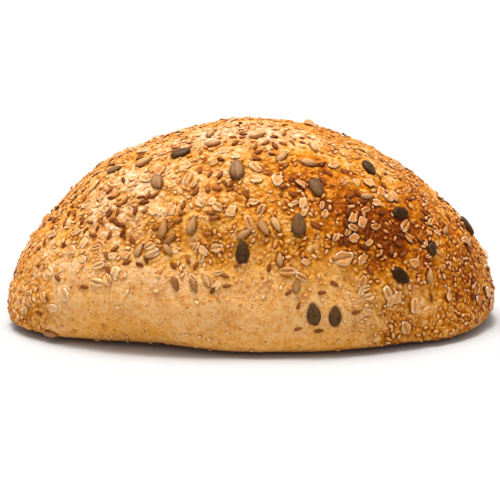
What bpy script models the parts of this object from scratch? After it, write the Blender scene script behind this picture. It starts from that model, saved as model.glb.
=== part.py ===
"""A whole, uncut wholegrain loaf, 26 cm long, strewn with seeds and oat flakes.

Metres, +Z up. +X runs along the loaf, and its front, with the pale band, faces -Y.
The origin is the middle of the flat foot that the loaf rests on.

The crust is one rounded form about a heart point. Its reach from there follows a few roundness powers,
with broad swells, hollows and baking unevenness on top. The large toppings are low-sided bodies that are
laid on that form and fused to it.
"""

from dataclasses import dataclass
from math import cos, exp, hypot, pi, radians, sin
from random import Random

import bmesh
import bpy
from mathutils import Matrix, Vector, noise

MM = 0.001

# Driving sizes of the crust
LENGTH = 0.2586
DEPTH = 0.1660
HEIGHT = 0.1072
PEAK_SHIFT = 0.0032       # the crown stands this far right of the middle
WIDEST_LEVEL = 0.0110     # height of the fullest outline above the foot
UNDERCURVE = 0.0121       # depth of the round below the fullest outline, before the foot cuts it flat

# Roundness of the outlines: 1 is a straight slope, 2 an ellipse, more is fuller
PLAN_POWER = (2.43, 1.93)     # seen from above, at the left end and at the right end
RISE_POWER = (1.79, 1.73)     # seen from the front, at the left end and at the right end
CROSS_POWER = 2.02            # seen from the ends, at the front and back
UNDER_POWER = (4.60, 4.40)    # below the fullest outline, at the ends and at the front and back

HEART = Vector((PEAK_SHIFT, 0.0, WIDEST_LEVEL))

# Baking unevenness: the span of each wave of lumps and how high it stands
LUMP_WAVES = ((0.052, 0.0011), (0.021, 0.00055))

# How finely the crust is faceted, and the part of the ball below its middle that is used for the underside
CRUST_SPLITS = 5
UNDERSIDE_SHARE = 0.30
FOOT_MERGE = 0.0012

# The eye that the places of the front toppings were judged from, and the point that it looks at
EYE_DISTANCE = 1.0
EYE_RISE = radians(13.0)
AIM = Vector((-0.0015, 0.0, 0.0367))
LOOK = Vector((0.0, cos(EYE_RISE), -sin(EYE_RISE)))
UP = Vector((0.0, sin(EYE_RISE), cos(EYE_RISE)))
ACROSS = Vector((1.0, 0.0, 0.0))
EYE = AIM - LOOK * EYE_DISTANCE

# The crust is bare below these heights, along the front and back and at the ends
BARE_LEVEL_SIDES = 0.046
BARE_LEVEL_ENDS = 0.016

SCATTER_SEED = 41
SCATTER_TRIES = 6000
TOPPING_GAP = 0.0022
STREWN_BEHIND = -0.30     # strewn toppings lie where the crust turns from the eye by more than this

CRUST_COLOUR = (0.56, 0.29, 0.09, 1.0)
CRUST_ROUGHNESS = 0.62


@dataclass(frozen=True)
class Swell:
    """A broad rise of the crust, or a hollow where the height is negative."""

    turn: float      # degrees round the loaf, 0 at the right end, -90 at the front
    climb: float     # degrees above the heart's level
    turn_span: float
    climb_span: float
    height: float


SWELLS = (
    Swell(180, 42, 30, 10, 0.0016),      # left shoulder
    Swell(180, 68, 50, 8, -0.0006),      # dip between the left shoulder and the crown
    Swell(180, 22, 34, 9, -0.0010),      # slope of the left end
    Swell(-168, -2, 12, 9, 0.0024),      # blunt left end
    Swell(-108, 27, 34, 7, -0.0014),     # crease above the pale band
    Swell(-98, 9, 44, 8, 0.0010),        # belly of the pale band
    Swell(-56, 35, 16, 9, 0.0014),       # blister on the front right
    Swell(0, 25, 30, 12, 0.0008),        # full slope of the right end
    Swell(70, 30, 45, 9, -0.0012),       # crease at the back
    Swell(-135, -5, 20, 8, -0.0108),     # foot of the front left, drawn in
    Swell(-115, -5, 18, 9, -0.0016),     # foot of the front, left of the middle
    Swell(-27, -5, 10, 7, 0.0045),       # front corner of the right end
)


@dataclass(frozen=True)
class Kind:
    """One kind of topping, by the sizes of a middling piece."""

    length: float
    width: float
    thickness: float
    taper: float      # how much narrower the tip is than the butt
    sides: int
    strewn: int       # how many lie beyond those placed by hand


PUMPKIN = Kind(0.0115, 0.0074, 0.0028, 0.30, 8, 15)
SUNFLOWER = Kind(0.0090, 0.0046, 0.0028, 0.45, 6, 28)
FLAKE = Kind(0.0070, 0.0056, 0.0018, 0.10, 6, 34)

# Toppings that stand out on the front: millimetres across and up from the aim as the eye sees them,
# the turn of the long axis in degrees from level, and the length in millimetres
PUMPKIN_PLACES = (
    (-37, 51.5, 15, 11), (-7, 42.5, 92, 13), (-49.5, 36, -72, 10.5), (35.5, 33, -65, 11.5),
    (63.5, 43.5, -55, 11), (26, 13, 88, 12), (80.5, 19.5, 8, 10.5), (115.5, 12.5, -55, 12),
    (-4, -1.5, 88, 11.5), (34, -34.5, 96, 11.5), (45.5, -35.5, 88, 10.5), (80.5, -14, -35, 11),
    (97, 0.5, 80, 9), (-72.5, 42.5, 20, 9),
)
SUNFLOWER_PLACES = (
    (-21, 62, 60, 9.5), (-20, 56.5, 8, 9), (-56.5, 46.5, 25, 10), (-31, 13, 75, 10), (-46.5, 11, 75, 10),
    (-43, 5.5, 45, 8), (4, 61, 12, 9.5), (17, 49.5, 38, 9), (34, 54.5, -60, 8), (31.5, 46.5, -12, 9.5),
    (-3, 8.5, 30, 8.5), (7.5, 11.5, -58, 9), (14, 13.5, -60, 9), (62.5, 28.5, 0, 8), (104.5, 10.5, 70, 7.5),
    (-106.5, -44.5, -8, 9), (-59.5, 0, 62, 8), (-52.5, -2, 25, 8.5), (-44, 0, -50, 7.5),
    (-40, -18.5, -75, 7.5), (-30, -19.5, -70, 7.5), (-23, -17, -65, 7.5), (16, -5, 90, 7.5),
    (25, -19.5, 80, 7.5), (96, -14, 88, 8.5),
)
FLAKE_PLACES = (
    (-47, 51.5, 20, 6.5), (-56.5, 38, -30, 6.5), (-33.5, 38, 65, 7.5), (-51.5, 21, -20, 7), (-42.5, 21.5, 60, 7.5),
    (-64.5, 18, -25, 6.5), (-17.5, 23, -40, 7), (-0.5, 14.5, -70, 8), (3, 44, -40, 8), (14.5, 37.5, -80, 7),
    (45, 45, 10, 6.5), (63.5, 35.5, -20, 7), (83, 13, 60, 8), (-87, 24.5, 35, 6.5), (-105.5, 8, 0, 7),
    (-96, 0, -30, 7), (-89, 4, 60, 6), (-99.5, -23.5, -60, 7), (-118, -27.5, -75, 6), (-18, 1, 10, 6.5),
    (50, -4.5, 15, 10.5), (73.5, -23.5, -70, 8), (78.5, -25.5, 65, 7.5), (88, -7, -20, 6.5), (60, 15, 80, 6.5),
    (27.5, -14.5, -30, 6.5), (29.5, 22, 75, 6), (-34, 44.5, 35, 5.5), (-13.5, 53, 10, 6.5), (-10, 21, 50, 6.5),
    (-26, 26.5, -15, 5.5), (50.5, 36.5, 60, 5.5), (57, 36, -70, 5.5), (62, 21.5, 20, 5.5), (70, 31, 70, 6.5),
    (74.5, 28, 60, 6.5), (-76.5, 22, 40, 6), (-97.5, 12.5, -20, 5.5), (-82.5, 1.5, 15, 5.5), (-116, -11.5, 70, 5.5),
    (-107, -11.5, -40, 5.5), (-71.5, -11.5, 30, 5), (-105.5, -31, -20, 6), (-26, -4, 80, 5.5), (60, -17, 70, 6.5),
    (63.5, -25, 10, 6), (62.5, -33, -35, 5.5), (60.5, -4.5, 55, 5.5),
)


def clear_scene() -> None:
    """Removes every object of the open file."""
    for thing in list(bpy.data.objects):
        bpy.data.objects.remove(thing, do_unlink=True)


def mix(low: float, high: float, share: float) -> float:
    """The value a share of the way from low to high."""
    return low + (high - low) * share


def ease(share: float) -> float:
    """A share from 0 to 1, with soft ends."""
    share = min(max(share, 0.0), 1.0)
    return share * share * (3.0 - 2.0 * share)


def bump_between(offset: float, span: float) -> float:
    """A round bump of height 1 that dies away over the span."""
    return exp(-((offset / span) ** 2))


def even_reach(way: Vector) -> float:
    """Distance from the heart to the crust along the unit vector way, before any unevenness."""
    level = max(hypot(way.x, way.y), 1e-9)
    to_right = ease(0.5 + 0.5 * way.x / level)
    half_length = LENGTH / 2 + (PEAK_SHIFT if way.x < 0 else -PEAK_SHIFT)
    plan_power = mix(*PLAN_POWER, to_right)
    plan = ((abs(way.x) / half_length) ** plan_power + (abs(way.y) / (DEPTH / 2)) ** plan_power) ** (1 / plan_power)
    if way.z >= 0:
        power = mix(mix(*RISE_POWER, to_right), CROSS_POWER, ease(abs(way.y) / level))
        climb = way.z / (HEIGHT - WIDEST_LEVEL)
    else:
        power = mix(*UNDER_POWER, ease(abs(way.y) / level))
        climb = -way.z / UNDERCURVE
    return (plan**power + climb**power) ** (-1 / power)


def turn_of(way: Vector) -> float:
    """Degrees round the loaf of the vector way, 0 at the right end."""
    return Vector((1.0, 0.0)).angle_signed(Vector((way.x, way.y)), 0.0) * -180.0 / pi


def crust_point(way: Vector) -> Vector:
    """The point of the uneven crust that lies along the unit vector way from the heart."""
    reach = even_reach(way)
    spot = HEART + way * reach
    turn = turn_of(way)
    climb = Vector((hypot(way.x, way.y), way.z)).angle(Vector((1.0, 0.0)), 0.0) * 180.0 / pi
    if way.z < 0:
        climb = -climb
    for swell in SWELLS:
        round_off = (turn - swell.turn + 180.0) % 360.0 - 180.0
        nearness = bump_between(round_off, swell.turn_span) * bump_between(climb - swell.climb, swell.climb_span)
        reach += swell.height * nearness
    for span, height in LUMP_WAVES:
        reach += height * noise.noise(spot / span)
    return HEART + way * reach


def crust_at(way: Vector) -> tuple[Vector, Vector]:
    """The crust's point along way and the direction in which the crust faces there."""
    side = way.orthogonal().normalized()
    other = way.cross(side)
    step = 0.02
    point = crust_point(way)
    along = crust_point((way + side * step).normalized()) - crust_point((way - side * step).normalized())
    beside = crust_point((way + other * step).normalized()) - crust_point((way - other * step).normalized())
    facing = along.cross(beside).normalized()
    if facing.dot(way) < 0:
        facing.negate()
    return point, facing


def seen_from_eye(across: float, up: float) -> Vector | None:
    """The unit vector from the heart to the crust point that the eye sees at a place of its view.

    The place is in metres across and up from the aim. There is none where the eye looks past the loaf.
    """
    ray = (AIM + ACROSS * across + UP * up - EYE).normalized()

    def inside(distance: float) -> bool:
        offset = EYE + ray * distance - HEART
        return offset.length < (crust_point(offset.normalized()) - HEART).length

    near = EYE_DISTANCE - DEPTH
    while not inside(near):
        near += 1.5 * MM
        if near > EYE_DISTANCE + DEPTH:
            return None
    far = near
    near = far - 1.5 * MM
    for _ in range(12):
        middle = (near + far) / 2
        if inside(middle):
            far = middle
        else:
            near = middle
    return (EYE + ray * far - HEART).normalized()


def bare_level(way: Vector) -> float:
    """Height below which no large topping is strewn, lower towards the ends than along the sides."""
    return mix(BARE_LEVEL_SIDES, BARE_LEVEL_ENDS, ease(abs(way.x) / max(hypot(way.x, way.y), 1e-9)) ** 2)


@dataclass(frozen=True)
class Topping:
    """A topping on the crust: its kind, where it lies, which way it points and how long it is."""

    kind: Kind
    point: Vector
    facing: Vector
    along: Vector
    length: float


def placed_toppings() -> list[Topping]:
    """The toppings that stand out on the front, each where the eye sees it."""
    found = []
    for kind, places in ((PUMPKIN, PUMPKIN_PLACES), (SUNFLOWER, SUNFLOWER_PLACES), (FLAKE, FLAKE_PLACES)):
        for across, up, turn, length in places:
            way = seen_from_eye(across * MM, up * MM)
            if way is None:
                continue
            point, facing = crust_at(way)
            sight = (point - EYE).normalized()
            drawn = ACROSS * cos(radians(turn)) + UP * sin(radians(turn))
            along = (drawn - sight * (drawn.dot(facing) / min(sight.dot(facing), -0.15))).normalized()
            along = (along - facing * along.dot(facing)).normalized()
            found.append(Topping(kind, point, facing, along, length * MM))
    return found


def strewn_toppings(taken: list[Topping]) -> list[Topping]:
    """Toppings strewn over the back by a seeded draw, clear of each other and of those taken."""
    draw = Random(SCATTER_SEED)
    found = list(taken)
    for kind in (PUMPKIN, SUNFLOWER, FLAKE):
        wanted = kind.strewn
        for _ in range(SCATTER_TRIES):
            if wanted == 0:
                break
            ball = Vector((draw.gauss(0, 1), draw.gauss(0, 1), draw.gauss(0, 1))).normalized()
            way = Vector((ball.x * LENGTH / 2, ball.y * DEPTH / 2, abs(ball.z) * HEIGHT)).normalized()
            turn = draw.uniform(0, 2 * pi)
            length = kind.length * draw.uniform(0.86, 1.12)
            point, facing = crust_at(way)
            if point.z < bare_level(way) or facing.dot((EYE - point).normalized()) > STREWN_BEHIND:
                continue
            if any((point - other.point).length < (length + other.length) / 2 + TOPPING_GAP for other in found):
                continue
            side = facing.orthogonal().normalized()
            along = side * cos(turn) + facing.cross(side) * sin(turn)
            found.append(Topping(kind, point, facing, along, length))
            wanted -= 1
    return found[len(taken):]


def crust_mesh() -> bpy.types.Mesh:
    """The closed crust with its flat foot at the floor."""
    shell = bmesh.new()
    bmesh.ops.create_icosphere(shell, subdivisions=CRUST_SPLITS, radius=1.0)
    everything = shell.verts[:] + shell.edges[:] + shell.faces[:]
    cut = Vector((0.0, 0.0, -UNDERSIDE_SHARE))
    bmesh.ops.bisect_plane(shell, geom=everything, plane_co=cut, plane_no=(0, 0, 1), clear_inner=True)
    for vert in shell.verts:
        ball = vert.co.copy()
        tall = HEIGHT - WIDEST_LEVEL if ball.z > 0 else UNDERCURVE / UNDERSIDE_SHARE
        vert.co = crust_point(Vector((ball.x * LENGTH / 2, ball.y * DEPTH / 2, ball.z * tall)).normalized())
    everything = shell.verts[:] + shell.edges[:] + shell.faces[:]
    bmesh.ops.bisect_plane(shell, geom=everything, plane_co=(0, 0, 0), plane_no=(0, 0, 1), clear_inner=True)
    rim = [edge for edge in shell.edges if edge.is_boundary]
    rim_verts = list({vert for edge in rim for vert in edge.verts})
    for vert in rim_verts:
        vert.co.z = 0.0
    bmesh.ops.remove_doubles(shell, verts=rim_verts, dist=FOOT_MERGE)
    rim = [edge for edge in shell.edges if edge.is_boundary]
    bmesh.ops.contextual_create(shell, geom=rim)
    bmesh.ops.recalc_face_normals(shell, faces=shell.faces)
    bmesh.ops.triangulate(shell, faces=shell.faces)
    mesh = bpy.data.meshes.new("loaf")
    shell.to_mesh(mesh)
    shell.free()
    return mesh


def topping_object(topping: Topping, name: str) -> bpy.types.Object:
    """A low-sided body of the topping, half sunk into the crust where it lies."""
    kind = topping.kind
    body = bmesh.new()
    bmesh.ops.create_uvsphere(body, u_segments=kind.sides, v_segments=3, radius=0.5)
    widest = max(hypot(vert.co.x, vert.co.y) for vert in body.verts)
    width = kind.width * topping.length / kind.length
    for vert in body.verts:
        x = vert.co.x / (2 * widest)
        y = vert.co.y / (2 * widest) * (1.0 - kind.taper * (x + 0.5))
        vert.co = Vector((x * topping.length, y * width / (1.0 - kind.taper / 2), vert.co.z * kind.thickness))
    beside = topping.facing.cross(topping.along)
    turned = Matrix((topping.along, beside, topping.facing)).transposed().to_4x4()
    middle = topping.point + topping.facing * (kind.thickness * 0.12)
    bmesh.ops.transform(body, matrix=Matrix.Translation(middle) @ turned, verts=body.verts)
    bmesh.ops.triangulate(body, faces=body.faces)
    mesh = bpy.data.meshes.new(name)
    body.to_mesh(mesh)
    body.free()
    return bpy.data.objects.new(name, mesh)


def shell_groups(body: bmesh.types.BMesh) -> list[list[bmesh.types.BMFace]]:
    """The faces of each closed shell of the body, the largest shell first."""
    waiting = set(body.faces)
    groups = []
    while waiting:
        edge_of_search = [waiting.pop()]
        group = []
        while edge_of_search:
            face = edge_of_search.pop()
            group.append(face)
            for edge in face.edges:
                for neighbour in edge.link_faces:
                    if neighbour in waiting:
                        waiting.discard(neighbour)
                        edge_of_search.append(neighbour)
        groups.append(group)
    return sorted(groups, key=len, reverse=True)


def fuse(loaf: bpy.types.Object, toppings: list[Topping]) -> None:
    """Joins the toppings to the loaf in one union, and keeps the one outer shell."""
    strewn = bpy.data.collections.new("toppings")
    bpy.context.scene.collection.children.link(strewn)
    for number, topping in enumerate(toppings):
        strewn.objects.link(topping_object(topping, f"topping_{number:03d}"))
    union = loaf.modifiers.new("union", "BOOLEAN")
    union.operation = "UNION"
    union.operand_type = "COLLECTION"
    union.collection = strewn
    union.solver = "EXACT"
    seen = bpy.context.evaluated_depsgraph_get()
    seen.update()
    joined = bpy.data.meshes.new_from_object(loaf.evaluated_get(seen))
    loaf.modifiers.remove(union)
    for thing in list(strewn.objects):
        bpy.data.objects.remove(thing, do_unlink=True)
    bpy.data.collections.remove(strewn)

    body = bmesh.new()
    body.from_mesh(joined)
    for group in shell_groups(body)[1:]:
        bmesh.ops.delete(body, geom=group, context="FACES")
    bmesh.ops.triangulate(body, faces=body.faces)
    plain = loaf.data
    body.to_mesh(plain)
    body.free()
    bpy.data.meshes.remove(joined)


def crust_material() -> bpy.types.Material:
    """Golden brown baked crust."""
    material = bpy.data.materials.new("crust")
    material.use_nodes = True
    shader = material.node_tree.nodes["Principled BSDF"]
    shader.inputs["Base Color"].default_value = CRUST_COLOUR
    shader.inputs["Roughness"].default_value = CRUST_ROUGHNESS
    shader.inputs["Metallic"].default_value = 0.0
    material.diffuse_color = CRUST_COLOUR
    return material


def main() -> None:
    """Builds the loaf as one solid."""
    clear_scene()
    loaf = bpy.data.objects.new("loaf", crust_mesh())
    bpy.context.scene.collection.objects.link(loaf)
    placed = placed_toppings()
    fuse(loaf, placed + strewn_toppings(placed))
    loaf.data.materials.clear()
    loaf.data.materials.append(crust_material())
    loaf.data.shade_smooth()
    loaf.data.set_sharp_from_angle(angle=radians(40))


main()
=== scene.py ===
"""The looks of a whole, uncut wholegrain loaf: its crust, and the seeds and flakes that lie on it.

Metres, +Z up. +X runs along the loaf, and its front, with the pale band, faces -Y. The crust follows the
same rounded form as the solid, with its blisters and wrinkles on top, and the large toppings lie where
the solid has them. Smaller ones lie between them, some at listed places, the rest strewn by a seeded draw.
"""
import logging
from bisect import bisect_left
from collections.abc import Iterator
from dataclasses import dataclass, field, replace
from enum import Enum
from itertools import product
from math import atan2, cos, exp, floor, hypot, pi, prod, radians, sin
from random import Random

import bmesh
import bpy
from mathutils import Matrix, Vector, noise
from mathutils.bvhtree import BVHTree
from mathutils.kdtree import KDTree


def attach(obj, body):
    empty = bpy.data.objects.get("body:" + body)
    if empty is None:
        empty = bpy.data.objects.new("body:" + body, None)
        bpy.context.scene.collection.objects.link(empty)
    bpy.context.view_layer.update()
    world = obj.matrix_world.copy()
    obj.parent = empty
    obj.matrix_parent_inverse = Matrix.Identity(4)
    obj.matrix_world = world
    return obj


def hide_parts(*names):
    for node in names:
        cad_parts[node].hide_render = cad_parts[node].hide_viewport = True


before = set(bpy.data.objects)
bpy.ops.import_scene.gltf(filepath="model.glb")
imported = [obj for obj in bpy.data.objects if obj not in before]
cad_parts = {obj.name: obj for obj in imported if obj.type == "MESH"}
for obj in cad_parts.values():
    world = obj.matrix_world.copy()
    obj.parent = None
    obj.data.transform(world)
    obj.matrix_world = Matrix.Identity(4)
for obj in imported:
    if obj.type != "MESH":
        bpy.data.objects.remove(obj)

LOG = logging.getLogger("loaf")
MM = 0.001
SQUARE_CM = 1e-4
TINY = 1e-9
NODE = "loaf"
BODY = "root"
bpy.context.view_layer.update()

Pair = tuple[float, float]
Triple = tuple[float, float, float]
Rgb = tuple[int, int, int]
Rgba = tuple[float, float, float, float]
Node = bpy.types.Node
Socket = bpy.types.NodeSocket
Feed = Socket | float | Triple | Rgba
Inputs = dict[str | int, Feed]


def mix(low: float, high: float, share: float) -> float:
    """The value a share of the way from low to high."""
    return low + (high - low) * share


def ease(share: float) -> float:
    """A share held between 0 and 1, with soft ends."""
    share = min(max(share, 0.0), 1.0)
    return share * share * (3.0 - 2.0 * share)


def hump(offset: float, span: float) -> float:
    """A round hump of height 1 that dies away over the span."""
    return exp(-((offset / span) ** 2))


def paint(red: float, green: float, blue: float) -> Rgba:
    """A colour as light values, from its 0 to 255 screen values."""
    shares = (part / 255.0 for part in (red, green, blue))
    return (*(s / 12.92 if s < 0.04045 else ((s + 0.055) / 1.055) ** 2.4 for s in shares), 1.0)


def scatter(draw: Random) -> Vector:
    """A drawn offset that points anywhere."""
    return Vector((draw.gauss(0, 1), draw.gauss(0, 1), draw.gauss(0, 1)))


def heading(facing: Vector, turn: float) -> Vector:
    """A direction along the crust, turned by an angle about the way that the crust faces."""
    side = facing.orthogonal().normalized()
    return side * cos(turn) + facing.cross(side) * sin(turn)


def note(mesh: bpy.types.Mesh, name: str, values: list[float]) -> None:
    """Keeps one value for each point of a mesh under a name, for its material to read."""
    mesh.attributes.new(name, "FLOAT", "POINT").data.foreach_set("value", values)


def stand(name: str, data: bpy.types.ID) -> bpy.types.Object:
    """Puts a mesh, a light or a camera in the scene.

    Args:
        name: The new object's name.
        data: What it shows.

    Returns:
        The object, at the origin and unturned.
    """
    made = bpy.data.objects.new(name, data)
    bpy.context.scene.collection.objects.link(made)
    return made


class Kind(Enum):
    """The kinds of topping."""

    PUMPKIN = "pumpkin_seeds"
    SUNFLOWER = "sunflower_kernels"
    FLAKE = "oat_flakes"
    LINSEED = "linseeds"
    SESAME = "sesame_seeds"
    CRUMB = "husk_crumbs"
    BEAD = "crust_beads"


@dataclass(frozen=True)
class Swell:
    """A broad rise of the crust, or a hollow where the height is negative. Its angles are degrees."""

    turn: float
    climb: float
    turn_span: float
    climb_span: float
    height: float


@dataclass(frozen=True)
class LoafForm:
    """The rounded form of the loaf about its heart point, as the solid has it.

    The powers say how square it is: in plan at its left and right end, in its rise there and across the
    middle, and underneath along and across. A wave of lumps has a width and a height.
    """

    length: float = 0.2586
    depth: float = 0.1660
    height: float = 0.1072
    peak_shift: float = 0.0032
    widest_level: float = 0.0110
    undercurve: float = 0.0121
    plan_power: Pair = (2.43, 1.93)
    rise_power: Pair = (1.79, 1.73)
    cross_power: float = 2.02
    under_power: Pair = (4.60, 4.40)
    lump_waves: tuple[Pair, ...] = ((0.052, 0.0011), (0.021, 0.00055))
    swells: tuple[Swell, ...] = (
        Swell(180, 42, 30, 10, 0.0016),
        Swell(180, 68, 50, 8, -0.0006),
        Swell(180, 22, 34, 9, -0.0010),
        Swell(-168, -2, 12, 9, 0.0024),
        Swell(-108, 27, 34, 7, -0.0014),
        Swell(-98, 9, 44, 8, 0.0010),
        Swell(-56, 35, 16, 9, 0.0014),
        Swell(0, 25, 30, 12, 0.0008),
        Swell(70, 30, 45, 9, -0.0012),
        Swell(-135, -5, 20, 8, -0.0108),
        Swell(-115, -5, 18, 9, -0.0016),
        Swell(-27, -5, 10, 7, 0.0045),
    )
    feel: float = 0.02

    @property
    def heart(self) -> Vector:
        """The point that the form is measured from."""
        return Vector((self.peak_shift, 0.0, self.widest_level))

    def even_reach(self, way: Vector) -> float:
        """Distance from the heart to the crust before any unevenness.

        Args:
            way: The unit vector to measure along.

        Returns:
            The distance in metres.
        """
        level = max(hypot(way.x, way.y), TINY)
        to_right = ease(0.5 + 0.5 * way.x / level)
        to_side = ease(abs(way.y) / level)
        half_length = self.length / 2 + (self.peak_shift if way.x < 0 else -self.peak_shift)
        power = mix(*self.plan_power, to_right)
        along, across = abs(way.x) / half_length, abs(way.y) / (self.depth / 2)
        plan = (along**power + across**power) ** (1 / power)
        if way.z >= 0:
            power = mix(mix(*self.rise_power, to_right), self.cross_power, to_side)
            climb = way.z / (self.height - self.widest_level)
        else:
            power = mix(*self.under_power, to_side)
            climb = -way.z / self.undercurve
        return (plan**power + climb**power) ** (-1 / power)

    def angles(self, way: Vector) -> Pair:
        """Where a direction from the heart points.

        Args:
            way: The unit vector.

        Returns:
            Degrees round the loaf, 0 at the right end, and degrees above the heart's level.
        """
        turn = Vector((1.0, 0.0)).angle_signed(Vector((way.x, way.y)), 0.0) * -180.0 / pi
        climb = Vector((hypot(way.x, way.y), way.z)).angle(Vector((1.0, 0.0)), 0.0) * 180.0 / pi
        return turn, -climb if way.z < 0 else climb

    def point(self, way: Vector) -> Vector:
        """The point of the uneven crust that lies along a direction from the heart.

        Args:
            way: The unit vector.

        Returns:
            The point.
        """
        reach = self.even_reach(way)
        spot = self.heart + way * reach
        turn, climb = self.angles(way)
        for swell in self.swells:
            beside = (turn - swell.turn + 180.0) % 360.0 - 180.0
            nearness = hump(beside, swell.turn_span) * hump(climb - swell.climb, swell.climb_span)
            reach += swell.height * nearness
        for span, height in self.lump_waves:
            reach += height * noise.noise(spot / span)
        return self.heart + way * reach

    def at(self, way: Vector) -> tuple[Vector, Vector]:
        """The crust's point along a direction, and which way the crust faces there.

        Args:
            way: The unit vector from the heart.

        Returns:
            The point, and the unit vector out of the crust.
        """
        def across(side: Vector) -> Vector:
            """The step over the crust between two points on either side of the direction."""
            ahead = self.point((way + side * self.feel).normalized())
            return ahead - self.point((way - side * self.feel).normalized())

        side = way.orthogonal().normalized()
        facing = across(side).cross(across(way.cross(side))).normalized()
        if facing.dot(way) < 0:
            facing.negate()
        return self.point(way), facing


@dataclass(frozen=True)
class FrontEye:
    """The eye in front of the loaf, where the camera stands too."""

    distance: float = 1.0
    rise: float = radians(13.0)
    aim: Triple = (-0.0015, 0.0, 0.0367)
    view_width: float = 0.268
    step: float = 1.5 * MM
    halvings: int = 12

    @property
    def look(self) -> Vector:
        """The direction of sight."""
        return Vector((0.0, cos(self.rise), -sin(self.rise)))

    @property
    def up(self) -> Vector:
        """The upward direction of the view."""
        return Vector((0.0, sin(self.rise), cos(self.rise)))

    @property
    def place(self) -> Vector:
        """Where the eye stands."""
        return Vector(self.aim) - self.look * self.distance

    def way_to(self, form: LoafForm, across: float, up: float) -> Vector | None:
        """The direction from the loaf's heart to what the eye sees at a place of its view.

        Args:
            form: The loaf's form.
            across: Metres to the right of the aim.
            up: Metres above the aim.

        Returns:
            The unit vector, or None where the eye looks past the loaf.
        """
        ray = (Vector(self.aim) + Vector((across, 0.0, 0.0)) + self.up * up - self.place).normalized()

        def inside(distance: float) -> bool:
            """Whether the line of sight is in the loaf at a distance."""
            offset = self.place + ray * distance - form.heart
            return offset.length < (form.point(offset.normalized()) - form.heart).length

        far = self.distance - form.depth
        while not inside(far):
            far += self.step
            if far > self.distance + form.depth:
                return None
        near = far - self.step
        for _ in range(self.halvings):
            middle = (near + far) / 2
            if inside(middle):
                far = middle
            else:
                near = middle
        return (self.place + ray * far - form.heart).normalized()


@dataclass(frozen=True)
class Spot:
    """Where one topping lies: its kind, its place, where its tip points, its length and its tone."""

    kind: Kind
    point: Vector
    facing: Vector
    along: Vector
    length: float
    tone: float

    @property
    def beside(self) -> Vector:
        """The direction across the topping."""
        return self.facing.cross(self.along)

    def offset_of(self, place: Vector) -> Pair:
        """How far a place is from the topping's middle, along it and across it."""
        offset = place - self.point
        return offset.dot(self.along), offset.dot(self.beside)


def tree_of(spots: list[Spot]) -> KDTree:
    """Sorts spots by place, so that those near a place are found fast.

    Args:
        spots: The spots.

    Returns:
        The tree, which knows each spot by its number in the list.
    """
    tree = KDTree(len(spots))
    for number, spot in enumerate(spots):
        tree.insert(spot.point, number)
    tree.balance()
    return tree


@dataclass(frozen=True)
class PlacedKind:
    """A kind with toppings at listed places: its middling length, how many more are strewn, and the places.

    A place is millimetres across and up as the front eye sees it, the turn of the long axis in degrees and
    the length in millimetres. A tone is 0 for a dark piece and 1 for a light one.
    """

    kind: Kind
    length: float
    strewn: int
    places: tuple[tuple[float, float, float, float], ...]
    tones: tuple[float, ...] = ()


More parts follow.
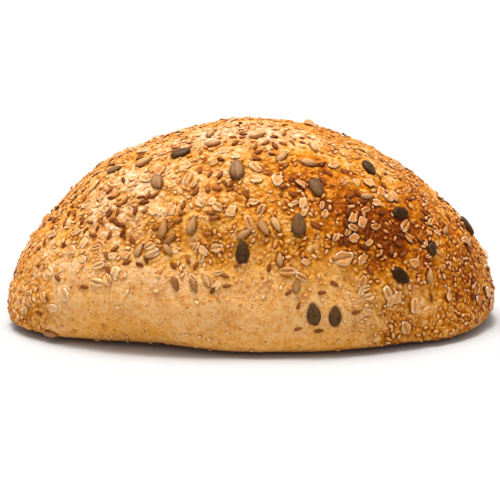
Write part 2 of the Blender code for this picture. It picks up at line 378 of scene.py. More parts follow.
IN_SOLID = (
    PlacedKind(Kind.PUMPKIN, 0.0115, 15, (
        (-37, 51.5, 15, 11), (-7, 42.5, 92, 13), (-49.5, 36, -72, 10.5), (35.5, 33, -65, 11.5),
        (63.5, 43.5, -55, 11), (26, 13, 88, 12), (80.5, 19.5, 8, 10.5), (115.5, 12.5, -55, 12),
        (-4, -1.5, 88, 11.5), (34, -34.5, 96, 11.5), (45.5, -35.5, 88, 10.5), (80.5, -14, -35, 11),
        (97, 0.5, 80, 9), (-72.5, 42.5, 20, 9),
    ), (
        0.23, 0.80, 1.0, 0.50, 0.15, 0.45, 0.0, 0.21, 0.14, 0.27, 0.25, 0.0, 0.10, 0.74,
    )),
    PlacedKind(Kind.SUNFLOWER, 0.0090, 28, (
        (-21, 62, 60, 9.5), (-20, 56.5, 8, 9), (-56.5, 46.5, 25, 10), (-31, 13, 75, 10), (-46.5, 11, 75, 10),
        (-43, 5.5, 45, 8), (4, 61, 12, 9.5), (17, 49.5, 38, 9), (34, 54.5, -60, 8), (31.5, 46.5, -12, 9.5),
        (-3, 8.5, 30, 8.5), (7.5, 11.5, -58, 9), (14, 13.5, -60, 9), (62.5, 28.5, 0, 8),
        (104.5, 10.5, 70, 7.5), (-106.5, -44.5, -8, 9), (-59.5, 0, 62, 8), (-52.5, -2, 25, 8.5),
        (-44, 0, -50, 7.5), (-40, -18.5, -75, 7.5), (-30, -19.5, -70, 7.5), (-23, -17, -65, 7.5),
        (16, -5, 90, 7.5), (25, -19.5, 80, 7.5), (96, -14, 88, 8.5),
    ), (
        0.55, 0.5, 0.75, 0.48, 0.40, 0.1, 0.85, 0.6, 1.0, 0.7, 0.42, 0.52, 0.85, 0.65, 0.35, 0.3, 0.6, 0.75,
        0.45, 0.0, 0.15, 0.7, 0.6, 0.35, 0.6,
    )),
    PlacedKind(Kind.FLAKE, 0.0070, 34, (
        (-47, 51.5, 20, 6.5), (-56.5, 38, -30, 6.5), (-33.5, 38, 65, 7.5), (-51.5, 21, -20, 7),
        (-42.5, 21.5, 60, 7.5), (-64.5, 18, -25, 6.5), (-17.5, 23, -40, 7), (-0.5, 14.5, -70, 8),
        (3, 44, -40, 8), (14.5, 37.5, -80, 7), (45, 45, 10, 6.5), (63.5, 35.5, -20, 7), (83, 13, 60, 8),
        (-87, 24.5, 35, 6.5), (-105.5, 8, 0, 7), (-96, 0, -30, 7), (-89, 4, 60, 6), (-99.5, -23.5, -60, 7),
        (-118, -27.5, -75, 6), (-18, 1, 10, 6.5), (50, -4.5, 15, 10.5), (73.5, -23.5, -70, 8),
        (78.5, -25.5, 65, 7.5), (88, -7, -20, 6.5), (60, 15, 80, 6.5), (27.5, -14.5, -30, 6.5),
        (29.5, 22, 75, 6), (-34, 44.5, 35, 5.5), (-13.5, 53, 10, 6.5), (-10, 21, 50, 6.5),
        (-26, 26.5, -15, 5.5), (50.5, 36.5, 60, 5.5), (57, 36, -70, 5.5), (62, 21.5, 20, 5.5),
        (70, 31, 70, 6.5), (74.5, 28, 60, 6.5), (-76.5, 22, 40, 6), (-97.5, 12.5, -20, 5.5),
        (-82.5, 1.5, 15, 5.5), (-116, -11.5, 70, 5.5), (-107, -11.5, -40, 5.5), (-71.5, -11.5, 30, 5),
        (-105.5, -31, -20, 6), (-26, -4, 80, 5.5), (60, -17, 70, 6.5), (63.5, -25, 10, 6),
        (62.5, -33, -35, 5.5), (60.5, -4.5, 55, 5.5),
    )),
)

SCENE_ONLY = (
    PlacedKind(Kind.LINSEED, 0.0048, 0, (
        (41.8, 41.3, -40, 5.2), (50.9, 41.3, -50, 5.4), (39.1, 36.4, -60, 4.8), (57.6, 30.0, -75, 4.8),
        (53.6, 28.9, 20, 4.8), (61.1, 25.7, 12, 5.4), (52.5, 20.4, 85, 4.8), (51.5, 14.5, -75, 5.2),
        (34.8, 12.9, -40, 5.4), (62.7, 8.6, 65, 5.2), (51.5, 3.8, -60, 4.6), (48.8, 3.8, 80, 4.2),
        (61.1, 1.6, -20, 5), (70.8, 19.8, 10, 4.6), (79.3, 2.7, -30, 5), (93.3, 19.8, -50, 4.6),
        (71.8, 34.3, -60, 4.8), (69.1, 39.1, -55, 4.2), (72.4, 40.7, 20, 3.6), (-34.0, 60.8, 80, 3.4),
        (-25.7, 58.2, 25, 4.2), (-32.2, 57.4, 10, 3.6), (-32.7, 54.7, 10, 3.8), (-24.7, 47.7, 60, 3.6),
        (-26.8, 42.6, 85, 4.8), (-21.4, 40.7, 60, 4.8), (-16.1, 40.2, 58, 5.4), (-28.9, 31.4, 62, 5.8),
        (-8.0, 57.1, 35, 4.8), (-4.8, 64.3, 0, 3.4), (6.4, 67.5, 40, 3.6), (-9.1, 60.3, 0, 4),
        (-3.8, 60.0, 0, 4), (2.9, 55.2, 60, 4.2), (4.3, 52.5, 25, 5.8), (8.6, 57.4, 25, 5.4),
        (12.9, 60.3, 5, 4.8), (18.5, 62.2, 65, 4.8), (13.4, 55.7, -50, 5.6), (11.8, 51.2, -10, 4.2),
        (17.7, 57.1, -20, 4.8), (22.5, 57.4, -50, 5), (27.9, 60.0, 0, 3.6), (28.4, 57.4, -20, 4.2),
        (12.9, 64.3, 10, 3.4), (3.8, 48.8, 0, 4.6), (-2.1, 29.7, -60, 5), (-13.1, 35.4, -60, 4.6),
        (-9.9, 35.4, 60, 4.6), (22.5, 37.5, -80, 4.4), (17.7, 33.5, 10, 4.6), (16.9, 30.0, 80, 4),
        (23.0, 29.5, -30, 5.2), (19.3, 45.3, 50, 5), (-35.9, 23.6, 70, 4.8), (-36.4, 19.6, 10, 4.2),
        (-21.4, 19.8, -15, 5), (-19.0, 16.9, 15, 5.6), (9.1, 41.0, 0, 5), (-79.9, 33.0, 0, 3.8),
        (-75.3, 31.9, 40, 5.4), (-70.8, 29.5, 50, 4.2), (-67.0, 26.3, 50, 4.8), (-58.4, 28.1, 10, 4.6),
        (-54.7, 28.9, 50, 4.8), (-51.5, 29.2, 30, 5), (-56.8, 25.5, 10, 5.8), (-61.4, 20.9, 70, 5),
        (-56.3, 20.6, 20, 3.6), (-71.0, 19.8, 80, 4.6), (-75.3, 19.3, 50, 4.8), (-73.4, 16.3, 25, 5.4),
        (-71.8, 14.7, -50, 4.6), (-68.9, 13.4, -20, 5.2), (-79.9, 15.0, -50, 4.6), (-81.7, 11.8, 70, 3.8),
        (-75.3, 7.5, 65, 5), (-68.3, 9.4, 60, 4.8), (-67.5, 7.0, -60, 4.2), (-72.4, 0.5, 30, 5),
        (-76.9, -3.2, -60, 4.8), (-65.9, -6.7, 20, 5.2), (-59.2, -7.8, -20, 4.6), (-55.7, -5.1, -75, 4.8),
        (-76.1, -11.3, -60, 5.4), (-41.0, -8.6, -50, 4.6), (-50.4, 11.5, 10, 4.4), (-42.3, 12.9, 50, 5),
        (-22.5, 8.6, 0, 4.8), (-19.9, -21.4, 60, 4.6), (-13.4, -13.9, -20, 4.8), (-12.3, -19.3, 10, 4.6),
        (-93.5, 30.8, 20, 4.2), (-93.0, 28.7, 10, 4.6), (-97.0, 28.9, 70, 3.8), (-88.7, 27.6, 65, 4.6),
        (-102.4, 24.9, 30, 3.6), (-94.1, 19.6, -75, 4.6), (-103.2, 20.9, 60, 3.6), (-108.0, 18.5, 40, 4.2),
        (-109.9, 13.4, 70, 5), (-105.3, 12.1, 15, 4.6), (-90.0, 15.3, 70, 4), (-87.9, 10.5, 50, 4),
        (-115.2, 8.8, 20, 3.8), (-118.2, 5.9, 60, 3.6), (-109.9, 4.0, 80, 4.6), (-113.4, 0.8, -40, 4.2),
        (-120.3, 2.1, 50, 3.4), (-122.2, -2.9, 60, 4.6), (-113.4, -8.3, 0, 3.4), (-122.7, -11.8, -20, 4.2),
        (-125.4, -12.3, 70, 4.2), (-102.9, -15.3, -50, 4.8), (-88.7, -19.8, -10, 5), (20.7, -22.9, 35, 4.4),
        (38.6, -22.9, 10, 4.6), (45.3, -18.2, -30, 4.8), (10.2, -9.5, 80, 4.6), (56.8, -33.4, 15, 4.6),
        (26.0, -29.8, 70, 4.2), (64.7, -11.5, -50, 5), (106.1, 17.7, -60, 4.8), (111.2, -25.2, 80, 4.4),
        (119.5, -25.1, 70, 4.6), (97.0, -25.7, -80, 4.2), (37.0, -43.4, 5, 4.8), (25.7, -42.3, 15, 4.2),
        (53.1, 26.5, -40, 4.6), (90.6, 5.4, -40, 4.4),
    ), (
        0.5, 0.3, 0.4, 0.1, 0.5, 0, 0.1, 0.1, 0.4, 0, 0.1, 0.2, 0, 0.1, 0.2, 0.2, 0.4, 0.3, 0.5, 0.4, 0.5,
        0.5, 0.4, 0.7, 0.5, 0.4, 0.5, 0.5, 0.3, 0.4, 0.4, 0.9, 0.9, 0.5, 0.3, 0.8, 0.1, 0.6, 0.2, 0, 0.6,
        0.6, 0.6, 0.4, 0.6, 0, 0.4, 0.3, 0.2, 0, 0.3, 0.4, 0.3, 0.8, 0.4, 0.6, 0.7, 0.7, 0.9, 0.6, 0.7, 0.7,
        0.7, 0.1, 0.6, 0.5, 0.1, 0.3, 0.6, 0.3, 0.3, 0.3, 0.2, 0.1, 0.5, 0.3, 0.4, 0, 0.1, 0.6, 0.6, 0.3,
        0.1, 0.1, 0.4, 0.3, 0.5, 1, 1, 0.2, 0.6, 0.5, 0.2, 0.4, 0.4, 0.6, 0.2, 0.6, 0.3, 0.3, 0.3, 0.3, 0.6,
        0.3, 0.3, 0.3, 0.5, 0.5, 0.4, 0.5, 0.3, 0.3, 0.4, 0.3, 0.3, 0.4, 0.3, 0.4, 0.3, 0.3, 0.5, 0.6, 0.3,
        0, 0.1, 0.2, 0.4, 0.5, 0.5, 0.5,
    )),
    PlacedKind(Kind.FLAKE, 0.0070, 0, (
        (67.5, 25.2, 0, 5.2), (76.6, 28.4, -60, 6), (55.2, 17.2, 60, 6), (55.2, 11.8, -30, 5.6),
        (67.0, 12.3, 0, 5), (55.7, 6.4, 20, 6), (52.5, 9.6, 60, 4.4), (46.1, 7.0, 60, 5),
        (85.2, 6.4, -50, 6), (59.5, -5.4, 80, 5), (40.2, 19.3, 70, 5), (38.6, 24.1, 80, 4.6),
        (28.4, 25.2, 75, 6), (28.9, 19.8, 50, 4.6), (63.8, 3.8, 30, 4.4), (-33.8, 38.1, 60, 7),
        (-35.4, 44.0, 30, 5.2), (-30.0, 35.1, 55, 4.4), (-8.0, 50.1, -5, 5.2), (-19.3, 46.6, 30, 4.4),
        (3.2, 37.5, 0, 5.6), (1.6, 25.7, 0, 5.6), (-10.2, 19.8, 0, 5.4), (-26.8, 25.2, -40, 6),
        (-20.4, 25.7, 30, 5.2), (24.1, 25.2, 20, 4.4), (-77.7, 22.0, -60, 6), (-66.5, -2.9, 40, 4.8),
        (-73.4, -3.2, 10, 5.2), (-80.9, -8.3, 20, 6.6), (-72.1, -11.8, 70, 5.6), (-53.6, 1.9, 20, 6.4),
        (-52.5, -1.3, 15, 7), (-28.9, 2.1, 60, 5), (-25.2, -0.5, -50, 5.6), (-30.6, -15.0, -50, 4.8),
        (-88.2, 24.1, 30, 5.6), (-93.0, 9.4, 30, 6), (-110.4, -25.2, -70, 6), (-119.3, -23.0, 0, 3.8),
        (-89.8, -4.8, -50, 5.4), (-17.2, -12.3, 10, 4.6), (-17.7, -18.8, 60, 5), (16.1, -4.8, 30, 4.6),
        (30.0, -6.4, -20, 4.4), (62.2, -20.4, 20, 5), (59.5, -22.5, 70, 4.6), (75.0, -27.3, 70, 5.6),
        (96.5, 15.0, 60, 5), (100.2, 9.6, -40, 4.4), (99.8, 3.4, 50, 3.8), (100.6, -1.4, -60, 3.6),
        (94.2, 3.4, 75, 3.6), (95.0, -3.6, 20, 3.4),
    ), (
        0.7, 0.9, 0.8, 0.7, 0, 0.5, 0.6, 0.8, 0.5, 1, 0.6, 0.7, 0.8, 0.5, 0.7, 0.9, 1, 1, 1, 0.9, 0.9, 0.9,
        0.7, 1, 1, 0.8, 1, 0.5, 1, 1, 1, 0.8, 0.9, 0.7, 0.9, 0.7, 0.9, 1, 0.6, 0.7, 0.8, 1, 0.9, 0.8, 0.8, 1,
        1, 0.6, 0.6, 0.4, 1, 1, 0.9, 0.9,
    )),
)


@dataclass
class ToppingPlan:
    """Where the toppings of the solid lie. Its draws are those of the solid, in the same order."""

    form: LoafForm
    eye: FrontEye
    seed: int = 41
    tries: int = 6000
    gap: float = 0.0022
    behind: float = -0.30
    bare_level: Pair = (0.046, 0.016)
    sizes: Pair = (0.86, 1.12)
    flattest_sight: float = -0.15
    darkest: float = 0.15
    placed_tone_step: float = 0.618
    strewn_tone_step: float = 0.381

    def placed(self, kinds: tuple[PlacedKind, ...]) -> list[Spot]:
        """The toppings of some kinds that stand out on the front, each where the eye sees it.

        Args:
            kinds: The kinds with their places.

        Returns:
            A spot for each place that the eye sees on the loaf.
        """
        found = []
        for placed in kinds:
            for number, (across, up, turn, length) in enumerate(placed.places):
                way = self.eye.way_to(self.form, across * MM, up * MM)
                if way is None:
                    continue
                point, facing = self.form.at(way)
                sight = (point - self.eye.place).normalized()
                drawn = Vector((1.0, 0.0, 0.0)) * cos(radians(turn)) + self.eye.up * sin(radians(turn))
                tilt = min(sight.dot(facing), self.flattest_sight)
                along = (drawn - sight * (drawn.dot(facing) / tilt)).normalized()
                along = (along - facing * along.dot(facing)).normalized()
                tone = mix(self.darkest, 1.0, number * self.placed_tone_step % 1.0)
                if placed.tones:
                    tone = placed.tones[number]
                found.append(Spot(placed.kind, point, facing, along, length * MM, tone))
        return found

    def lowest(self, way: Vector) -> float:
        """Height below which no large topping is strewn, in a direction."""
        sides, ends = self.bare_level
        return mix(sides, ends, ease(abs(way.x) / max(hypot(way.x, way.y), TINY)) ** 2)

    def strewn(self, taken: list[Spot]) -> list[Spot]:
        """Toppings strewn over the back, clear of each other and of those taken.

        Args:
            taken: The spots of the toppings that lie already.

        Returns:
            The new spots.
        """
        draw = Random(self.seed)
        found = list(taken)
        for placed in IN_SOLID:
            wanted = placed.strewn
            for number in range(self.tries):
                if wanted == 0:
                    break
                ball = scatter(draw).normalized()
                reach = Vector((self.form.length / 2, self.form.depth / 2, self.form.height))
                way = Vector((ball.x * reach.x, ball.y * reach.y, abs(ball.z) * reach.z)).normalized()
                turn = draw.uniform(0, 2 * pi)
                length = placed.length * draw.uniform(*self.sizes)
                point, facing = self.form.at(way)
                seen = facing.dot((self.eye.place - point).normalized()) > self.behind
                if seen or point.z < self.lowest(way):
                    continue
                if not all(
                    (point - other.point).length >= (length + other.length) / 2 + self.gap for other in found
                ):
                    continue
                tone = number * self.strewn_tone_step % 1.0
                found.append(Spot(placed.kind, point, facing, heading(facing, turn), length, tone))
                wanted -= 1
        return found[len(taken):]


@dataclass(frozen=True)
class BakedPatch:
    """A patch that baked darker, or paler where the amount is negative.

    It lies where the front eye sees it, in millimetres across and up, or on the back where behind is set.
    """

    across: float
    up: float
    width: float
    height: float
    amount: float
    behind: bool = False


@dataclass(frozen=True)
class SparseRound:
    """A round part of the crust where fewer toppings stuck."""

    centre: Triple
    span: float
    share: float


@dataclass
class Baking:
    """How far each place of the crust has browned, from 0, pale, to 1, dark brown, and how it is covered.

    A mottle has a width and an amount, and the foot the height up to which it grows darker towards the floor
    and by how much. Each side of the pale band has its left end, its right end and its top edge.
    """

    form: LoafForm
    eye: FrontEye
    middling: float = 0.42
    patches: tuple[BakedPatch, ...] = (
        BakedPatch(-35, -28, 62, 15, -0.46),
        BakedPatch(50, -34, 40, 12, -0.24),
        BakedPatch(20, -44, 90, 8, -0.08),
        BakedPatch(-5, 2, 26, 9, 0.05),
        BakedPatch(76, 9, 27, 17, 0.47),
        BakedPatch(48, 20, 22, 13, 0.13),
        BakedPatch(34, 38, 26, 12, 0.26),
        BakedPatch(118, -12, 16, 26, 0.21),
        BakedPatch(104, 4, 20, 14, 0.12),
        BakedPatch(100, -34, 26, 12, 0.02),
        BakedPatch(-95, -18, 34, 30, -0.20),
        BakedPatch(-50, 8, 30, 14, -0.10),
        BakedPatch(-66, 30, 50, 22, -0.31),
        BakedPatch(0, 64, 64, 14, -0.40),
        BakedPatch(-60, 45, 34, 16, -0.04),
        BakedPatch(62, 54, 24, 8, 0.04),
        BakedPatch(92, 30, 20, 14, 0.13),
        BakedPatch(-115, -24, 16, 18, -0.10),
        BakedPatch(-40, -26, 70, 16, -0.22, True),
        BakedPatch(45, -30, 50, 14, -0.20, True),
        BakedPatch(-55, 12, 30, 16, 0.34, True),
        BakedPatch(30, 6, 24, 10, 0.22, True),
        BakedPatch(85, 0, 22, 20, 0.26, True),
    )
    inward: float = 0.94
    mottles: tuple[Pair, ...] = ((0.024, 0.16), (0.009, 0.10))
    foot: Pair = (0.0045, 0.45)
    sparse: tuple[SparseRound, ...] = (
        SparseRound((0.058, -0.020, 0.088), 0.032, 0.62),
        SparseRound((0.025, -0.005, 0.103), 0.020, 0.35),
        SparseRound((-0.030, 0.040, 0.085), 0.025, 0.50),
        SparseRound((-0.108, -0.045, 0.030), 0.028, 0.45),
        SparseRound((0.112, -0.040, 0.012), 0.020, 0.30),
    )
    front_band: Triple = (-0.112, 0.066, 0.041)
    back_band: Triple = (-0.080, 0.085, 0.034)
    band_waver: Pair = (0.03, 0.006)
    band_ends: float = 0.030
    band_edge: float = 0.028
    centres: list[Vector] = field(default_factory=list)

    def __post_init__(self) -> None:
        """Finds where each patch lies on the crust. One past the outline moves in until it is on it."""
        for patch in self.patches:
            across, up = patch.across * MM, patch.up * MM
            way = self.eye.way_to(self.form, across, up)
            while way is None:
                across, up = across * self.inward, up * self.inward
                way = self.eye.way_to(self.form, across, up)
            centre = self.form.at(way)[0]
            if patch.behind:
                centre.y = -centre.y
            self.centres.append(centre)

    def at(self, spot: Vector) -> float:
        """How far the crust has browned at a place.

        Args:
            spot: A point of the crust.

        Returns:
            The browning from 0 to 1.
        """
        brown = self.middling
        for patch, centre in zip(self.patches, self.centres):
            offset = spot - centre
            upward = hypot(offset.y, offset.z) / (patch.height * MM)
            across = offset.x / (patch.width * MM)
            brown += patch.amount * exp(-(across * across + upward * upward))
        brown += sum(amount * noise.noise(spot / span) for span, amount in self.mottles)
        # Darker towards the floor.
        level, amount = self.foot
        brown += amount * ease((level - spot.z) / level)
        return min(max(brown, 0.0), 1.0)

    def strewn_share(self, spot: Vector) -> float:
        """How much of the usual strewing lies at a place, from 0 to 1."""
        rounds = ((part, (spot - Vector(part.centre)).length) for part in self.sparse)
        return prod(1.0 - part.share * hump(distance, part.span) for part, distance in rounds)

    def pale_band(self, spot: Vector) -> float:
        """How much of the smooth, nearly bare band shows at a place.

        Args:
            spot: A point of the crust.

        Returns:
            The share from 0 to 1.
        """
        left, right, top = self.front_band if spot.y < 0 else self.back_band
        span, height = self.band_waver
        top += height * noise.noise(Vector((spot.x, spot.y, 0.0)) / span)
        sides = ease((spot.x - left) / self.band_ends) * ease((right - spot.x) / self.band_ends)
        return sides * ease((top - spot.z) / self.band_edge + 0.5)


@dataclass(frozen=True)
class Make:
    """How one make of a flake departs from the middling one, as factors on its shape."""

    ragged: float = 1.0
    crease: float = 1.0
    curl: float = 1.0
    width: float = 1.0


MAKES = (
    Make(0.35, 1.5, 0.6, 0.80),
    Make(1.0, 0.5, 1.3, 1.0),
    Make(0.6, 1.0, 2.2, 0.88),
    Make(0.7, 0.3, 1.6, 0.95),
)
CURLED_MAKE = 2
RAGGED_WAVES = ((1.6, 7.3, 0.5, 1.0), (4.0, 3.1, 9.5, 0.5))
RIM_AT = 0.86
RIM_WIDTH = 0.09
UNDER_RIM = -0.4
CREASE_WIDTH = 0.17
CREASE_STRAY = 0.12
CREASE_WAVES = 1.5
FOLD_WIDTH = 0.20
LIP_AT = 0.42
LIP_WIDTH = 0.25
LIP_SHARE = 0.6
UNDER_LIP = 0.4
CURL_WAVES = 0.9
CUP = 0.6
ARCH = 0.3


@dataclass(frozen=True)
class SeedShape:
    """The shape of one kind of topping, drawn from a ball.

    The long axis is X with the tip at +X, and Z is out of the crust. Sizes are in metres, and the shares
    that shape it are of the half size. Each ragged wave has its waves round the outline, its shift from
    one variant to the next, its start and its amount. A crease has raised lips on both sides.
    """

    length: float
    width: float
    thickness: float
    around: int
    rows: int
    poles_at_tips: bool = True
    taper: float = 0.3
    sharpness: float = 2.0
    flatness: float = 1.0
    grooves: int = 0
    groove_depth: float = 0.0
    rim: float = 0.0
    crease: float = 0.0
    curl: float = 0.0
    ragged: float = 0.0
    variants: int = 1

    def mesh(self, variant: int) -> bpy.types.Mesh:
        """One variant of the shape as a mesh, about its middle.

        Args:
            variant: The number of the variant, from 0.

        Returns:
            The mesh, smooth shaded.
        """
        body = bmesh.new()
        bmesh.ops.create_uvsphere(body, u_segments=self.around, v_segments=self.rows, radius=1.0)
        if self.poles_at_tips:
            bmesh.ops.rotate(body, cent=(0, 0, 0), matrix=Matrix.Rotation(pi / 2, 3, "Y"), verts=body.verts)
        for vert in body.verts:
            vert.co = self.shaped(vert.co, variant)
        bmesh.ops.recalc_face_normals(body, faces=body.faces)
        mesh = bpy.data.meshes.new(f"shape_{variant}")
        body.to_mesh(mesh)
        body.free()
        mesh.shade_smooth()
        return mesh

    def rim_share(self, place: Vector) -> float:
        """How near a point of the shape is to its rim, from 0 to 1."""
        return min(hypot(place.x * 2 / self.length, place.y * 2 / self.width), 1.0)

    def turn_about_axis(self, place: Vector) -> float:
        """Angle of a point of the shape about its long axis, 0 on top, which its streaks follow."""
        return atan2(place.y / self.width, place.z / self.thickness)

    def make_of(self, variant: int) -> Make:
        """Which of the makes a variant is of. Only creased shapes have more than one."""
        return MAKES[variant % len(MAKES)] if self.crease else Make()

    def narrowing(self, x: float, variant: int) -> float:
        """Width of a variant at a place along it, as a share of the widest."""
        return (1.0 - self.taper * max(0.5 + 0.5 * x, 0.0) ** self.sharpness) * self.make_of(variant).width

    @staticmethod
    def crease_waver(x: float, variant: int) -> float:
        """How far the lengthwise crease strays sideways at a place along a variant."""
        return CREASE_STRAY * noise.noise(Vector((x * CREASE_WAVES, variant, 0.0)))

    def fold_share(self, place: Vector, variant: int) -> float:
        """How deep a point of the shape lies in its lengthwise fold.

        Args:
            place: The point.
            variant: The number of the variant.

        Returns:
            The share from 0 to 1.
        """
        if not self.crease:
            return 0.0
        x = place.x * 2 / self.length
        y = place.y * 2 / (self.width * self.narrowing(x, variant))
        return hump(y + self.crease_waver(x, variant), FOLD_WIDTH)

    def shaped(self, ball: Vector, variant: int) -> Vector:
        """Shapes the ball step by step: ragged outline, grooves, flat faces, rim, crease, taper and curl.

        Args:
            ball: A point of the ball.
            variant: The number of the variant.

        Returns:
            The point of the shape that it goes to.
        """
        x, y, z = ball
        radius = hypot(x, y)
        turn = atan2(y, x)
        make = self.make_of(variant)
        if self.ragged:
            raggedness = sum(
                amount * noise.noise(Vector((cos(turn) * waves, sin(turn) * waves, shift * variant + start)))
                for waves, shift, start, amount in RAGGED_WAVES)
            swell = 1.0 + self.ragged * make.ragged * raggedness * radius
            x, y = x * swell, y * swell
        if self.grooves:
            ring = 1.0 + self.groove_depth * cos(self.grooves * atan2(z, y)) * (1.0 - x * x)
            y, z = y * ring, z * ring
        z = abs(z) ** self.flatness * (1.0 if z > 0 else -1.0)
        if self.rim:
            z += self.rim * hump(radius - RIM_AT, RIM_WIDTH) * (1.0 if z > 0 else UNDER_RIM)
        if self.crease:
            from_crease = y + self.crease_waver(x, variant)
            depth = self.crease * make.crease
            z -= depth * hump(from_crease, CREASE_WIDTH) * (1.0 - x * x)
            lip = hump(abs(from_crease) - LIP_AT, LIP_WIDTH)
            z += depth * LIP_SHARE * lip * (1.0 if z > 0 else UNDER_LIP)
        narrow = self.narrowing(x, variant)
        place = Vector((x * self.length / 2, y * narrow * self.width / 2, z * self.thickness / 2))
        if self.curl:
            bend = noise.noise(Vector((x * CURL_WAVES + 3.7 * variant, y * CURL_WAVES, 2.0)))
            place.z += self.curl * self.length / 2 * make.curl * (bend + CUP * y * y - ARCH * x * x)
        return place


SHAPES = {
    Kind.PUMPKIN: SeedShape(
        0.0115, 0.0074, 0.0034, 18, 14, taper=0.40, sharpness=2.6, flatness=0.8, rim=0.06, ragged=0.05,
        variants=3),
    Kind.SUNFLOWER: SeedShape(
        0.0092, 0.0047, 0.0032, 16, 12, taper=0.55, sharpness=1.8, grooves=7, groove_depth=0.06, ragged=0.08,
        variants=3),
    Kind.FLAKE: SeedShape(
        0.0070, 0.0054, 0.0014, 20, 8, poles_at_tips=False, taper=0.12, rim=0.55, crease=0.9, curl=0.15,
        ragged=0.38, variants=12),
    Kind.LINSEED: SeedShape(
        0.0048, 0.0024, 0.0014, 10, 6, taper=0.40, sharpness=1.8, flatness=0.85, variants=2),
    Kind.SESAME: SeedShape(0.0031, 0.0021, 0.0014, 8, 5, taper=0.40, sharpness=1.3, variants=2),
    Kind.CRUMB: SeedShape(
        0.0026, 0.0015, 0.0007, 7, 4, poles_at_tips=False, taper=0.2, ragged=0.55, curl=0.3, variants=6),
    Kind.BEAD: SeedShape(
        0.0025, 0.0019, 0.0015, 7, 4, poles_at_tips=False, taper=0.2, ragged=0.35, variants=6),
}


